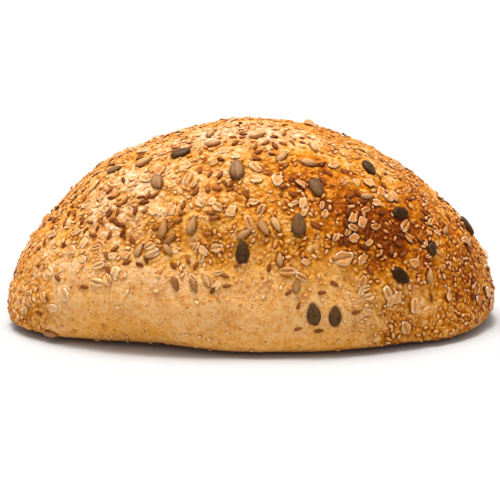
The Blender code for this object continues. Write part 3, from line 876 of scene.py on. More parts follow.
@dataclass
class Crust:
    """The baked crust: one closed skin on the loaf's form, with its lumps, blisters and wrinkles.

    Lumps, bubbles and grain have a width and a height. Collars of crust rise round the large toppings, and
    the nooks beside every topping get painted shade and brown a little more.
    """

    form: LoafForm
    baking: Baking
    nests: list[Spot]
    splits: int = 5
    cuts: int = 6
    underside_share: float = 0.30
    rim_merge: float = 0.0003
    sharp_edge: float = radians(65)
    flat_foot: float = 5 * MM
    lump: Pair = (0.0130, 0.00045)
    lump_layers: int = 3
    lump_finer: float = 2.1
    bubble: Pair = (0.0042, 0.00055)
    bubble_steep: float = 2.2
    grain: Pair = (0.0023, 0.00030)
    band_smooth: float = 0.85
    collar: float = 0.00045
    collar_width: float = 0.0007
    collar_share: float = 0.32
    collar_soft: float = 0.22
    nest_reach: float = 0.009
    # Where and how strongly the painted shade in the nooks beside toppings lies.
    nook_shade_width: float = 0.0014
    nook_shade_reach: float = 0.0075
    nook_shade_most: float = 1.5
    nook_shade_thickness: float = 1.5 * MM
    bead_nook_shade: float = 0.35

    def build(self) -> bpy.types.Object:
        """Makes the crust's mesh, with its browning, its pale band and its relief kept as attributes.

        Returns:
            The crust piece.
        """
        shell = self.ball()
        self.settle(shell)
        self.wrinkle(shell)
        relief = shell.verts.layers.float["relief"]
        values = {
            "browning": [self.baking.at(vert.co) for vert in shell.verts],
            "band": [self.baking.pale_band(vert.co) for vert in shell.verts],
            "raised": [vert[relief] for vert in shell.verts],
        }
        mesh = bpy.data.meshes.new("crust")
        shell.to_mesh(mesh)
        shell.free()
        mesh.attributes.remove(mesh.attributes["relief"])
        for name, each in values.items():
            note(mesh, name, each)
        mesh.shade_smooth()
        mesh.set_sharp_from_angle(angle=self.sharp_edge)
        return stand("crust", mesh)

    @staticmethod
    def cut_below(shell: bmesh.types.BMesh, height: float) -> None:
        """Cuts away what lies below a height, and leaves the cut open.

        Args:
            shell: What is cut.
            height: The height in metres.
        """
        everything = shell.verts[:] + shell.edges[:] + shell.faces[:]
        bmesh.ops.bisect_plane(
            shell, geom=everything, plane_co=(0, 0, height), plane_no=(0, 0, 1), clear_inner=True)

    def ball(self) -> bmesh.types.BMesh:
        """Makes the even ball that the crust is drawn from.

        Returns:
            The ball, cut open below.
        """
        shell = bmesh.new()
        bmesh.ops.create_icosphere(shell, subdivisions=self.splits, radius=1.0)
        self.cut_below(shell, -self.underside_share)
        bmesh.ops.subdivide_edges(shell, edges=shell.edges, cuts=self.cuts, use_grid_fill=True)
        return shell

    def settle(self, shell: bmesh.types.BMesh) -> None:
        """Draws the ball out to the loaf's form and closes it with a flat foot at the floor.

        Args:
            shell: The open ball.
        """
        form = self.form
        for vert in shell.verts:
            ball = vert.co.copy()
            tall = form.height - form.widest_level if ball.z > 0 else form.undercurve / self.underside_share
            way = Vector((ball.x * form.length / 2, ball.y * form.depth / 2, ball.z * tall)).normalized()
            vert.co = form.point(way)
        self.cut_below(shell, 0.0)
        rim = [vert for vert in shell.verts if vert.is_boundary]
        for vert in rim:
            vert.co.z = 0.0
        bmesh.ops.remove_doubles(shell, verts=rim, dist=self.rim_merge)
        bmesh.ops.contextual_create(shell, geom=[edge for edge in shell.edges if edge.is_boundary])
        bmesh.ops.recalc_face_normals(shell, faces=shell.faces)

    def wrinkle(self, shell: bmesh.types.BMesh) -> None:
        """Raises lumps, bubbles and grain on the skin, and collars of crust round the large toppings.

        Args:
            shell: The smooth crust, which gets a layer of its relief in millimetres.
        """
        shell.normal_update()
        tree = tree_of(self.nests)
        relief = shell.verts.layers.float.new("relief")
        rises = []
        for vert in shell.verts:
            near = (self.nests[number] for _, number, _ in tree.find_range(vert.co, self.nest_reach))
            collar = max((self.collar_rise(vert.co, nest) for nest in near), default=0.0)
            rises.append(self.relief_at(vert.co) + collar)
        for vert, rise in zip(shell.verts, rises):
            vert[relief] = rise / MM
            vert.co += vert.normal * (rise * ease(vert.co.z / self.flat_foot))
            vert.co.z = max(vert.co.z, 0.0)

    def relief_at(self, spot: Vector) -> float:
        """Height of the crust's own relief over the form at a place.

        Args:
            spot: A point of the smooth crust.

        Returns:
            The height in metres.
        """
        rough = 1.0 - self.band_smooth * self.baking.pale_band(spot)
        span, height = self.lump
        rise = height * noise.fractal(spot / span, 1.0, self.lump_finer, self.lump_layers)
        span, height = self.bubble
        near, second = noise.voronoi(spot / span)[0][:2]
        rise += height * rough * (ease((second - near) * self.bubble_steep) - 0.5)
        span, height = self.grain
        rise += height * rough * noise.noise(spot / span)
        return rise

    def collar_rise(self, place: Vector, nest: Spot) -> float:
        """Height of the collar of crust round one large topping.

        Args:
            place: A point of the crust.
            nest: Where the topping lies.

        Returns:
            The height in metres.
        """
        along, beside = nest.offset_of(place)
        along /= nest.length * 0.5 + self.collar_width
        beside /= nest.length * self.collar_share + self.collar_width
        return self.collar * hump(hypot(along, beside) - 1.0, self.collar_soft)

    def note_nook_shade(self, crust: bpy.types.Object, laid: list[Spot]) -> None:
        """Notes how deep in a nook beside a topping each point of the crust lies, where its material paints
        shade and browns it a little more.

        Args:
            crust: The crust piece.
            laid: Every topping that lies on it.
        """
        tree = tree_of(laid)
        nook_shades = []
        for vert in crust.data.vertices:
            near = (laid[number] for _, number, _ in tree.find_range(vert.co, self.nook_shade_reach))
            nook_shades.append(min(sum(self.nook_shade_depth(vert.co, topping) for topping in near), self.nook_shade_most))
        note(crust.data, "nook_shade", nook_shades)

    def nook_shade_depth(self, place: Vector, topping: Spot) -> float:
        """How deep in the nook beside one topping a place lies.

        Args:
            place: A point of the crust.
            topping: Where the topping lies.

        Returns:
            The share from 0 to 1.
        """
        shape = SHAPES[topping.kind]
        half = topping.length / 2
        half_width = half * shape.width / shape.length
        along, beside = topping.offset_of(place)
        gap = (hypot(along / half, beside / half_width) - 1.0) * (half + half_width) / 2
        weight = min(shape.thickness / self.nook_shade_thickness, 1.0)
        if topping.kind is Kind.BEAD:
            weight = self.bead_nook_shade
        return (1.0 - ease(gap / self.nook_shade_width)) * weight


@dataclass(frozen=True)
class Zone:
    """A part of the crust past a place on one axis, which it fades into over a span. Its side is 1 or -1."""

    axis: int
    side: float
    start: float
    span: float

    def share(self, spot: Vector) -> float:
        """How far into the zone a place lies, from 0 to 1."""
        return ease((spot[self.axis] * self.side - self.start) / self.span)


RIGHT_END = Zone(0, 1, 0.045, 0.05)
LEFT_END = Zone(0, -1, 0.050, 0.05)
FRONT = Zone(1, -1, -0.035, 0.030)
OFF_FLOOR = Zone(2, 1, 0.002, 0.004)
UPPER_HALF = Zone(2, 1, 0.035, 0.025)
OVER_SPILL = Zone(2, 1, 0.021, 0.010)
SPILL_MIDDLE = 0.018
SPILL_SPAN = 0.045
SPILL = 0.55
CLUMP_SPAN = 0.017
CLUMP_FORCE = 1.6


@dataclass(frozen=True)
class Strewing:
    """How one small kind is strewn: how thick it lies, how deep it sinks and how much it tilts.

    The densities are pieces on each square centimetre of crust, over the top, at the right end, at the
    left end and on the pale band. In the middle of the front some spill down onto the band.
    """

    kind: Kind
    top: float
    right: float
    left: float
    band: float
    sunk: float
    tilt: float
    room: float
    clumps: float = 0.5
    above: float = 0.0
    front: float = 1.0

    def density(self, spot: Vector, band: float) -> float:
        """How thick the kind lies at a place.

        Args:
            spot: A point of the crust.
            band: How much of the pale band shows there.

        Returns:
            Pieces for each square centimetre.
        """
        to_right = (self.right - self.top) * RIGHT_END.share(spot)
        to_left = (self.left - self.top) * LEFT_END.share(spot)
        open_crust = self.top + to_right + to_left
        clump = 1.0 + self.clumps * CLUMP_FORCE * noise.noise(spot / CLUMP_SPAN)
        low = OFF_FLOOR.share(spot) * mix(1.0 - self.above, 1.0, UPPER_HALF.share(spot))
        facing = mix(1.0, self.front, FRONT.share(spot))
        band *= 1.0 - SPILL * (hump(spot.x - SPILL_MIDDLE, SPILL_SPAN) * OVER_SPILL.share(spot))
        return mix(open_crust, self.band, band) * max(clump, 0.0) * low * facing


STREWINGS = (
    Strewing(Kind.FLAKE, 0.26, 0.20, 0.24, 0.01, 0.25, 0.24, 0.0024, 0.5, 0.0, 0.7),
    Strewing(Kind.LINSEED, 0.95, 0.85, 1.30, 0.05, 0.34, 0.16, 0.0018, 0.9, 0.8, 0.5),
    Strewing(Kind.SESAME, 3.2, 4.4, 2.8, 0.95, 0.40, 0.30, 0.00095, 0.8),
    Strewing(Kind.CRUMB, 1.7, 1.5, 1.4, 0.20, 0.36, 0.45, 0.0008, 0.8),
    Strewing(Kind.BEAD, 7.0, 8.5, 6.0, 0.8, 0.56, 0.20, 0.0008, 0.7),
)


@dataclass
class Bed:
    """The crust's surface as a bed for toppings: what is taken, and places that are still free.

    A spot is snapped onto it from so many millimetres over it, searching so many metres down.
    """

    crust: bpy.types.Object
    baking: Baking
    seed: int = 7
    cell: float = 6 * MM
    foot: float = 1e-5
    over: float = 6.0
    search: float = 14 * MM
    sizes: Pair = (0.72, 1.18)
    taken: dict[tuple[int, ...], list[tuple[Vector, float]]] = field(default_factory=dict)

    def __post_init__(self) -> None:
        """Reads the crust's triangles and their areas, without the flat foot."""
        mesh = self.crust.data
        mesh.calc_loop_triangles()
        self.corners = [tuple(triangle.vertices) for triangle in mesh.loop_triangles]
        self.points = [vert.co.copy() for vert in mesh.vertices]
        self.facings = [vert.normal.copy() for vert in mesh.vertices]
        self.draw = Random(self.seed)
        self.tree = BVHTree.FromPolygons(self.points, self.corners)
        self.area = 0.0
        self.area_up_to = []
        for a, b, c in self.corners:
            if min(self.points[a].z, self.points[b].z, self.points[c].z) > self.foot:
                side = self.points[b] - self.points[a]
                self.area += side.cross(self.points[c] - self.points[a]).length / 2
            self.area_up_to.append(self.area)

    def cell_of(self, point: Vector) -> tuple[int, ...]:
        """The cell of the bed that a point is in."""
        return tuple(floor(part / self.cell) for part in point)

    def is_free(self, point: Vector, room: float) -> bool:
        """Whether a topping has room at a point.

        Args:
            point: The point.
            room: The topping's room.

        Returns:
            True where nothing taken is nearer than its room and the other's together.
        """
        home = self.cell_of(point)
        for steps in product((-1, 0, 1), repeat=3):
            cell = tuple(part + step for part, step in zip(home, steps))
            if any((other - point).length < room + its_room for other, its_room in self.taken.get(cell, ())):
                return False
        return True

    def take(self, point: Vector, room: float) -> None:
        """Notes that a point and the room round it are taken."""
        self.taken.setdefault(self.cell_of(point), []).append((point, room))

    def snapped(self, spot: Spot) -> Spot:
        """A spot moved onto the wrinkled crust."""
        found = self.tree.ray_cast(spot.point + spot.facing * self.over * MM, -spot.facing, self.search)[0]
        return replace(spot, point=found or spot.point)

    def random_place(self) -> tuple[Vector, Vector]:
        """Draws a place, evenly over the crust.

        Returns:
            The place, and which way the crust faces there.
        """
        corners = self.corners[bisect_left(self.area_up_to, self.draw.uniform(0, self.area))]
        first, second = self.draw.random(), self.draw.random()
        if first + second > 1:
            first, second = 1 - first, 1 - second
        shares = (1 - first - second, first, second)

        def between(values: list[Vector]) -> Vector:
            """The value there, from the values at the triangle's corners."""
            at_a, at_b, at_c = (values[corner] * share for corner, share in zip(corners, shares))
            return at_a + at_b + at_c

        return between(self.points), between(self.facings).normalized()

    def strewn(self, strewing: Strewing) -> Iterator[Spot]:
        """Spots of one small kind, thick or thin as its strewing says.

        Args:
            strewing: How the kind is strewn.

        Yields:
            Each spot that was free.
        """
        shape = SHAPES[strewing.kind]
        most = max(strewing.top, strewing.right, strewing.left) * (1 + strewing.clumps)
        for _ in range(round(self.area / SQUARE_CM * most)):
            point, facing = self.random_place()
            chance = self.draw.random()
            turn = self.draw.uniform(0, 2 * pi)
            size = self.draw.uniform(*self.sizes)
            tone = self.draw.random()
            lean = scatter(self.draw)
            density = strewing.density(point, self.baking.pale_band(point))
            density *= self.baking.strewn_share(point)
            if chance > density / most or not self.is_free(point, strewing.room):
                continue
            self.take(point, strewing.room)
            facing = (facing + lean * strewing.tilt * 0.5).normalized()
            yield Spot(strewing.kind, point, facing, heading(facing, turn), shape.length * size, tone)


@dataclass
class Strewn:
    """All pieces of one kind, joined in one mesh, each with its own tone and browning.

    The share that is sunk is of the half thickness. Painted shade lies on a piece up to a share of its
    thickness over the crust. Its raised value falls from its middle to its rim, and on beads the crust's
    skin draws it as a painted highlight in the middle and painted shade at the rim. Its count and its tone
    pick its shape, and one much longer than usual is a curled one.
    """

    kind: Kind
    sunk: float
    baking: Baking
    curled_from: float = 1.3
    count_step: int = 5
    tone_steps: int = 97
    off_floor: float = 0.2 * MM
    low_shade_share: float = 0.45
    # The crust skin of beads draws this paler in the middle and darker at the rim: a painted highlight and
    # painted shade.
    raised: Pair = (0.5, -0.3)
    count: int = 0

    def __post_init__(self) -> None:
        """Makes the kind's shapes, and what each of their points keeps for the material."""
        shape = self.shape = SHAPES[self.kind]
        self.shapes = [shape.mesh(number) for number in range(shape.variants)]
        self.own = [
            {
                "tip": [vert.co.x * 2 / shape.length for vert in mesh.vertices],
                "edge": [shape.rim_share(vert.co) for vert in mesh.vertices],
                "fold": [shape.fold_share(vert.co, number) for vert in mesh.vertices],
                "turn": [shape.turn_about_axis(vert.co) for vert in mesh.vertices],
                "raised": [mix(*self.raised, shape.rim_share(vert.co)) for vert in mesh.vertices],
            }
            for number, mesh in enumerate(self.shapes)
        ]
        self.body = bmesh.new()
        names = ("tone", "browning", "tip", "edge", "fold", "band", "raised", "low", "turn")
        self.values: dict[str, list[float]] = {name: [] for name in names}

    def add(self, spot: Spot) -> None:
        """Adds one piece, unless it would touch the floor.

        Args:
            spot: Where it lies.
        """
        number = (self.count * self.count_step + int(spot.tone * self.tone_steps)) % len(self.shapes)
        if spot.length > self.curled_from * self.shape.length:
            number = CURLED_MAKE % len(self.shapes)
        size = spot.length / self.shape.length
        turned = Matrix((spot.along * size, spot.beside * size, spot.facing * size)).transposed().to_4x4()
        lift = self.shape.thickness / 2 * size * (1.0 - 2.0 * self.sunk)
        piece = self.shapes[number].copy()
        piece.transform(Matrix.Translation(spot.point + spot.facing * lift) @ turned)
        if min(vert.co.z for vert in piece.vertices) > self.off_floor:
            self.body.from_mesh(piece)
            # Height of each point over the crust, for the painted shade along the piece's low edge.
            rises = ((vert.co - spot.point).dot(spot.facing) for vert in piece.vertices)
            top = self.shape.thickness * self.low_shade_share
            many = len(piece.vertices)
            values = {
                **self.own[number],
                "tone": [spot.tone] * many,
                "browning": [self.baking.at(spot.point)] * many,
                "band": [self.baking.pale_band(spot.point)] * many,
                "low": [1.0 - ease(rise / top) for rise in rises],
            }
            for name, kept in self.values.items():
                kept += values[name]
            self.count += 1
        bpy.data.meshes.remove(piece)

    def build(self) -> bpy.types.Object:
        """Joins the pieces.

        Returns:
            The joined piece, still without its material.
        """
        mesh = bpy.data.meshes.new(self.kind.value)
        self.body.to_mesh(mesh)
        self.body.free()
        for name, values in self.values.items():
            note(mesh, name, values)
        mesh.shade_smooth()
        for shape in self.shapes:
            bpy.data.meshes.remove(shape)
        return stand(self.kind.value, mesh)


@dataclass(frozen=True)
class Graph:
    """A node tree that is wired step by step."""

    tree: bpy.types.NodeTree

    def fill(self, node: Node, inputs: Inputs) -> None:
        """Links or sets some of a node's inputs.

        Args:
            node: The node.
            inputs: Values or sockets, by the inputs' names or numbers.
        """
        for name, value in inputs.items():
            if isinstance(value, Socket):
                self.tree.links.new(value, node.inputs[name])
            else:
                node.inputs[name].default_value = value

    def node(self, kind: str, inputs: Inputs | None = None, **settings: object) -> Node:
        """Adds a node.

        Args:
            kind: The node's type name without its ShaderNode start.
            inputs: Values or sockets for its inputs, by name or number.
            settings: Properties to set on the node.

        Returns:
            The new node.
        """
        made = self.tree.nodes.new(kind if kind.startswith("NodeGroup") else f"ShaderNode{kind}")
        for name, value in settings.items():
            setattr(made, name, value)
        self.fill(made, inputs or {})
        return made

    def attribute(self, name: str) -> Socket:
        """The value of one of the mesh's attributes."""
        return self.node("Attribute", attribute_name=name).outputs["Fac"]

    def places(self) -> Socket:
        """Object coordinates."""
        return self.node("TexCoord").outputs["Object"]

    def maths(self, operation: str, first: Feed, second: Feed, clamp: bool = False) -> Socket:
        """The outcome of a sum on two values or sockets."""
        return self.node("Math", {0: first, 1: second}, operation=operation, use_clamp=clamp).outputs[0]

    def plus(self, first: Feed, second: Feed, clamp: bool = False) -> Socket:
        """Two values or sockets added."""
        return self.maths("ADD", first, second, clamp)

    def times(self, first: Feed, second: Feed, clamp: bool = False) -> Socket:
        """Two values or sockets multiplied."""
        return self.maths("MULTIPLY", first, second, clamp)

    def scaled(self, value: Feed, factor: float, offset: float, clamp: bool = False) -> Socket:
        """A value times a factor, plus an offset."""
        inputs = {0: value, 1: factor, 2: offset}
        return self.node("Math", inputs, operation="MULTIPLY_ADD", use_clamp=clamp).outputs[0]

    def noise(self, scale: Feed, detail: float = 3.0, roughness: float = 0.5) -> Socket:
        """Noise about 0.5, with so many waves to the metre."""
        inputs = {"Vector": self.places(), "Scale": scale, "Detail": detail, "Roughness": roughness}
        return self.node("TexNoise", inputs).outputs["Fac"]

    def bent_places(self, scale: float, detail: float, reach: float) -> Socket:
        """Object coordinates bent by noise, so that cells laid on them are uneven.

        Args:
            scale: The noise's waves to the metre.
            detail: The noise's detail.
            reach: Metres that a place moves by at most.

        Returns:
            The bent coordinates.
        """
        inputs = {"Vector": self.places(), "Scale": scale, "Detail": detail}
        warp = self.node("TexNoise", inputs).outputs["Color"]
        shift = self.node("VectorMath", {0: warp, 1: (reach, reach, reach)}, operation="MULTIPLY").outputs[0]
        return self.node("VectorMath", {0: self.places(), 1: shift}, operation="ADD").outputs[0]

    def blend(self, share: Feed, first: Feed, second: Feed) -> Socket:
        """Two colours mixed by a share, from the first at 0 to the second at 1."""
        inputs = {0: share, 6: first, 7: second}
        return self.node("Mix", inputs, data_type="RGBA", clamp_factor=True).outputs[2]

    def toned(self, colour: Feed, rgb: Rgb, share: Feed) -> Socket:
        """A colour with a share of a painted one laid over it."""
        return self.blend(share, colour, paint(*rgb))

    def ramp(self, value: Socket, stops: tuple[tuple[float, Rgb], ...]) -> Socket:
        """A colour read from a row of stops.

        Args:
            value: Where to read it, from 0 to 1.
            stops: Each stop's place and colour.

        Returns:
            The colour.
        """
        made = self.node("ValToRGB", {"Fac": value})
        elements = made.color_ramp.elements
        while len(elements) < len(stops):
            elements.new(0.5)
        for element, (place, rgb) in zip(elements, stops):
            element.position = place
            element.color = paint(*rgb)
        return made.outputs["Color"]

    def bump(self, height: Socket, strength: float, distance: float) -> Socket:
        """The normals of a surface with a relief of so many metres."""
        inputs = {"Height": height, "Strength": strength, "Distance": distance}
        return self.node("Bump", inputs).outputs["Normal"]


def new_material(name: str) -> tuple[bpy.types.Material, Graph, Node]:
    """Starts a material.

    Args:
        name: The material's name.

    Returns:
        The material, its graph and its shader.
    """
    made = bpy.data.materials.new(name)
    made.use_nodes = True
    return made, Graph(made.node_tree), made.node_tree.nodes["Principled BSDF"]


class Effects:
    """The node groups that finishes share, each made once."""

    def __init__(self) -> None:
        """Builds the groups."""
        self.toasting = self.toasting_group()
        self.specks = self.specks_group()
        self.pebbles = self.pebbles_group()

    @staticmethod
    def group(name: str, output: str, usual: dict[str, Feed]) -> tuple[Graph, dict[str, Socket], Node]:
        """An empty group with its sockets.

        Args:
            name: The group's name.
            output: What it puts out, which is a colour if it is called so.
            usual: The usual value of each input.

        Returns:
            The group's graph, its inputs by name and its output node.
        """
        tree = bpy.data.node_groups.new(name, "ShaderNodeTree")
        for label, value in usual.items():
            kind = "NodeSocketColor" if isinstance(value, tuple) else "NodeSocketFloat"
            tree.interface.new_socket(label, in_out="INPUT", socket_type=kind).default_value = value
        kind = "NodeSocketColor" if output == "Color" else "NodeSocketFloat"
        tree.interface.new_socket(output, in_out="OUTPUT", socket_type=kind)
        graph = Graph(tree)
        given = graph.node("NodeGroupInput").outputs
        return graph, {label: given[label] for label in usual}, graph.node("NodeGroupOutput")

    def toasting_group(self) -> bpy.types.NodeTree:
        """Colour of a seed between its dark and its light tone, browned as the crust is.

        Returns:
            The group.
        """
        graph, given, out = self.group("toasting", "Color", {
            "Dark": (0.1, 0.05, 0.02, 1.0),
            "Light": (0.8, 0.6, 0.4, 1.0),
            "Toasted": (0.3, 0.12, 0.03, 1.0),
            "Tone": 0.5,
            "Browning": 0.4,
            "Toasting": 0.5,
            "Scale": 900.0,
        })
        tone = graph.plus(given["Tone"], graph.scaled(graph.noise(given["Scale"]), 0.7, -0.35), clamp=True)
        plain = graph.blend(tone, given["Dark"], given["Light"])
        share = graph.times(given["Browning"], given["Toasting"], clamp=True)
        graph.fill(out, {"Color": graph.blend(share, plain, given["Toasted"])})
        return graph.tree

    def specks_group(self) -> bpy.types.NodeTree:
        """A mask of small round specks, of uneven size, some cells without one.

        Returns:
            The group.
        """
        graph, given, out = self.group("specks", "Mask", {"Scale": 300.0, "Size": 0.15, "Share": 0.5})
        places = graph.bent_places(700.0, 1.0, 0.0016)
        cells = graph.node("TexVoronoi", {"Vector": places, "Scale": given["Scale"]}).outputs
        drawn = graph.node("SeparateColor", {"Color": cells["Color"]}).outputs[0]
        kept = graph.maths("LESS_THAN", drawn, given["Share"])
        inner = graph.maths("SUBTRACT", given["Size"], cells["Distance"])
        soft = graph.maths("DIVIDE", inner, graph.times(given["Size"], 0.6), clamp=True)
        graph.fill(out, {"Mask": graph.times(soft, kept)})
        return graph.tree

    def pebbles_group(self) -> bpy.types.NodeTree:
        """Height of small rounded blisters that crowd each other, about two millimetres wide.

        Returns:
            The group.
        """
        graph, _, out = self.group("pebbles", "Height", {})
        inputs = {"Vector": graph.bent_places(420.0, 2.0, 0.0022), "Scale": 430.0, "Smoothness": 0.35}
        cells = graph.node("TexVoronoi", inputs, feature="SMOOTH_F1").outputs
        dome = graph.scaled(cells["Distance"], -1.35, 1.0, clamp=True)
        patchy = graph.scaled(graph.noise(170, 2), 2.4, -0.55, clamp=True)
        graph.fill(out, {"Height": graph.times(dome, patchy)})
        return graph.tree


@dataclass(frozen=True)
class CrustFinish:
    """Baked crust: tan to brown, with pores and flecks of bran. Painted shade, orange-brown, lies in its
    creases, cavities and the nooks beside toppings, and raised parts are paler, partly as flour and partly
    as a painted highlight.
    """

    slot: str = "crust"
    stops: tuple[tuple[float, Rgb], ...] = (
        (0.00, (241, 206, 170)),
        (0.22, (235, 184, 128)),
        (0.42, (230, 166, 80)),
        (0.62, (212, 131, 18)),
        (0.82, (167, 79, 0)),
        (1.00, (106, 37, 0)),
    )
    # The first three colours are painted shade, for creases and for the nooks beside toppings; the rest are
    # the crust's own.
    crease: Rgb = (158, 75, 4)
    nook_shade: Rgb = (168, 81, 6)
    dark_nook_shade: Rgb = (64, 18, 0)
    band_tint: Rgb = (240, 174, 72)
    golden: Rgb = (222, 136, 22)
    grain: Rgb = (214, 126, 34)
    bead: Rgb = (230, 160, 74)
    pore: Rgb = (124, 58, 8)
    bran: Rgb = (122, 52, 16)

    def material(self, effects: Effects) -> bpy.types.Material:
        """Builds the material.

        Args:
            effects: The shared node groups.

        Returns:
            The material.
        """
        made, graph, shader = new_material(self.slot)
        band = graph.attribute("band")
        raised = graph.attribute("raised")
        open_crust = graph.scaled(band, -0.85, 1.0)
        pebbles = graph.node("Group", node_tree=effects.pebbles).outputs["Height"]
        # Painted shade in the cavities between blisters, off the pale band.
        cavity_shade = graph.times(graph.scaled(pebbles, -1.0, 0.55), open_crust)
        # Painted shade in the nooks beside toppings, weaker on the pale band.
        nook_shade = graph.times(graph.attribute("nook_shade"), graph.scaled(band, -0.5, 1.0))
        # This browning carries painted shade and a painted highlight as well as real browning.
        browning = self.browning_and_shade(graph, band, raised, nook_shade, cavity_shade)

        colour = graph.toned(graph.ramp(browning, self.stops), self.band_tint, graph.times(band, 0.60))
        gold = graph.times(graph.attribute("tone"), graph.scaled(browning, -0.8, 1.0), clamp=True)
        colour = graph.toned(colour, self.bead, graph.times(gold, 0.85))
        orange = graph.scaled(graph.noise(760, 3, 0.6), 6.0, -3.2, clamp=True)
        colour = graph.toned(colour, self.grain, graph.times(orange, 0.6))
        golden = graph.times(graph.scaled(graph.noise(420, 4, 0.75), 6.0, -2.7, clamp=True), band)
        colour = graph.toned(colour, self.golden, graph.times(golden, 0.70))
        # Painted shade, orange-brown, in low places of the relief and in cavities.
        crease = graph.scaled(graph.plus(raised, graph.times(cavity_shade, -0.8)), -1.1, -0.1, clamp=True)
        colour = graph.toned(colour, self.crease, graph.times(crease, 0.65))
        # Painted shade beside toppings, darker where the crust is browner.
        nook_shade_colour = graph.blend(browning, paint(*self.nook_shade), paint(*self.dark_nook_shade))
        nook_shade_share = graph.scaled(nook_shade, 0.42, -0.12)
        nook_shade_share = graph.times(nook_shade_share, graph.scaled(browning, 0.9, 0.6), clamp=True)
        colour = graph.blend(nook_shade_share, colour, nook_shade_colour)

        pores = graph.node("Group", {"Scale": 300.0, "Size": 0.17, "Share": 0.5}, node_tree=effects.specks)
        pore_share = graph.times(pores.outputs["Mask"], graph.scaled(band, 0.5, 0.35))
        colour = graph.toned(colour, self.pore, pore_share)
        bran = graph.node("Group", {"Scale": 560.0, "Size": 0.30, "Share": 0.30}, node_tree=effects.specks)
        colour = graph.toned(colour, self.bran, graph.times(bran.outputs["Mask"], 0.6))

        risen = graph.scaled(graph.plus(pebbles, raised), 1.6, -0.9, clamp=True)
        grit = graph.times(graph.noise(1000, 3, 0.55), graph.scaled(band, 0.75, 0.35))
        height = graph.plus(grit, graph.times(pebbles, graph.scaled(open_crust, 1.7, 0.25)))
        height = graph.maths("SUBTRACT", height, graph.times(pore_share, 0.6))
        graph.fill(shader, {
            "Base Color": colour,
            "Roughness": graph.scaled(graph.noise(300, 2), 0.24, 0.32),
            "Specular IOR Level": 0.04,
            "Coat Weight": graph.times(risen, 0.16),
            "Coat Roughness": 0.28,
            "Sheen Weight": 0.12,
            "Sheen Roughness": 0.25,
            "Normal": graph.bump(height, 0.9, 0.0006),
        })
        return made

    @staticmethod
    def browning_and_shade(graph: Graph, band: Socket, raised: Socket, nook_shade: Socket, cavity_shade: Socket) -> Socket:
        """How far each place has browned, unevenly, with painted light and shade: paler where it is raised,
        partly as flour and partly as a painted highlight, and darker in nooks and cavities as painted shade.

        Args:
            graph: The material's graph.
            band: How much of the pale band shows.
            raised: The crust's relief in millimetres.
            nook_shade: How deep in a nook beside a topping the place lies.
            cavity_shade: How deep between blisters it lies.

        Returns:
            The browning with its painted shade and highlight, from 0 to 1.
        """
        coarse = graph.scaled(graph.noise(140, 3), 0.40, -0.20)
        fine = graph.scaled(graph.noise(620, 3, 0.6), 0.44, -0.22)
        finest = graph.scaled(graph.noise(1050, 3, 0.65), 1.0, -0.5)
        finest = graph.times(finest, graph.scaled(band, 0.95, 0.45))
        browning = graph.attribute("browning")
        # Raised relief paler, partly as flour and partly as a painted highlight; nooks darker as painted
        # shade with a little browning.
        for part in (coarse, fine, finest, graph.times(raised, -0.22), graph.scaled(nook_shade, 0.17, -0.07)):
            browning = graph.plus(browning, part)
        return graph.plus(browning, graph.times(cavity_shade, 0.46), clamp=True)


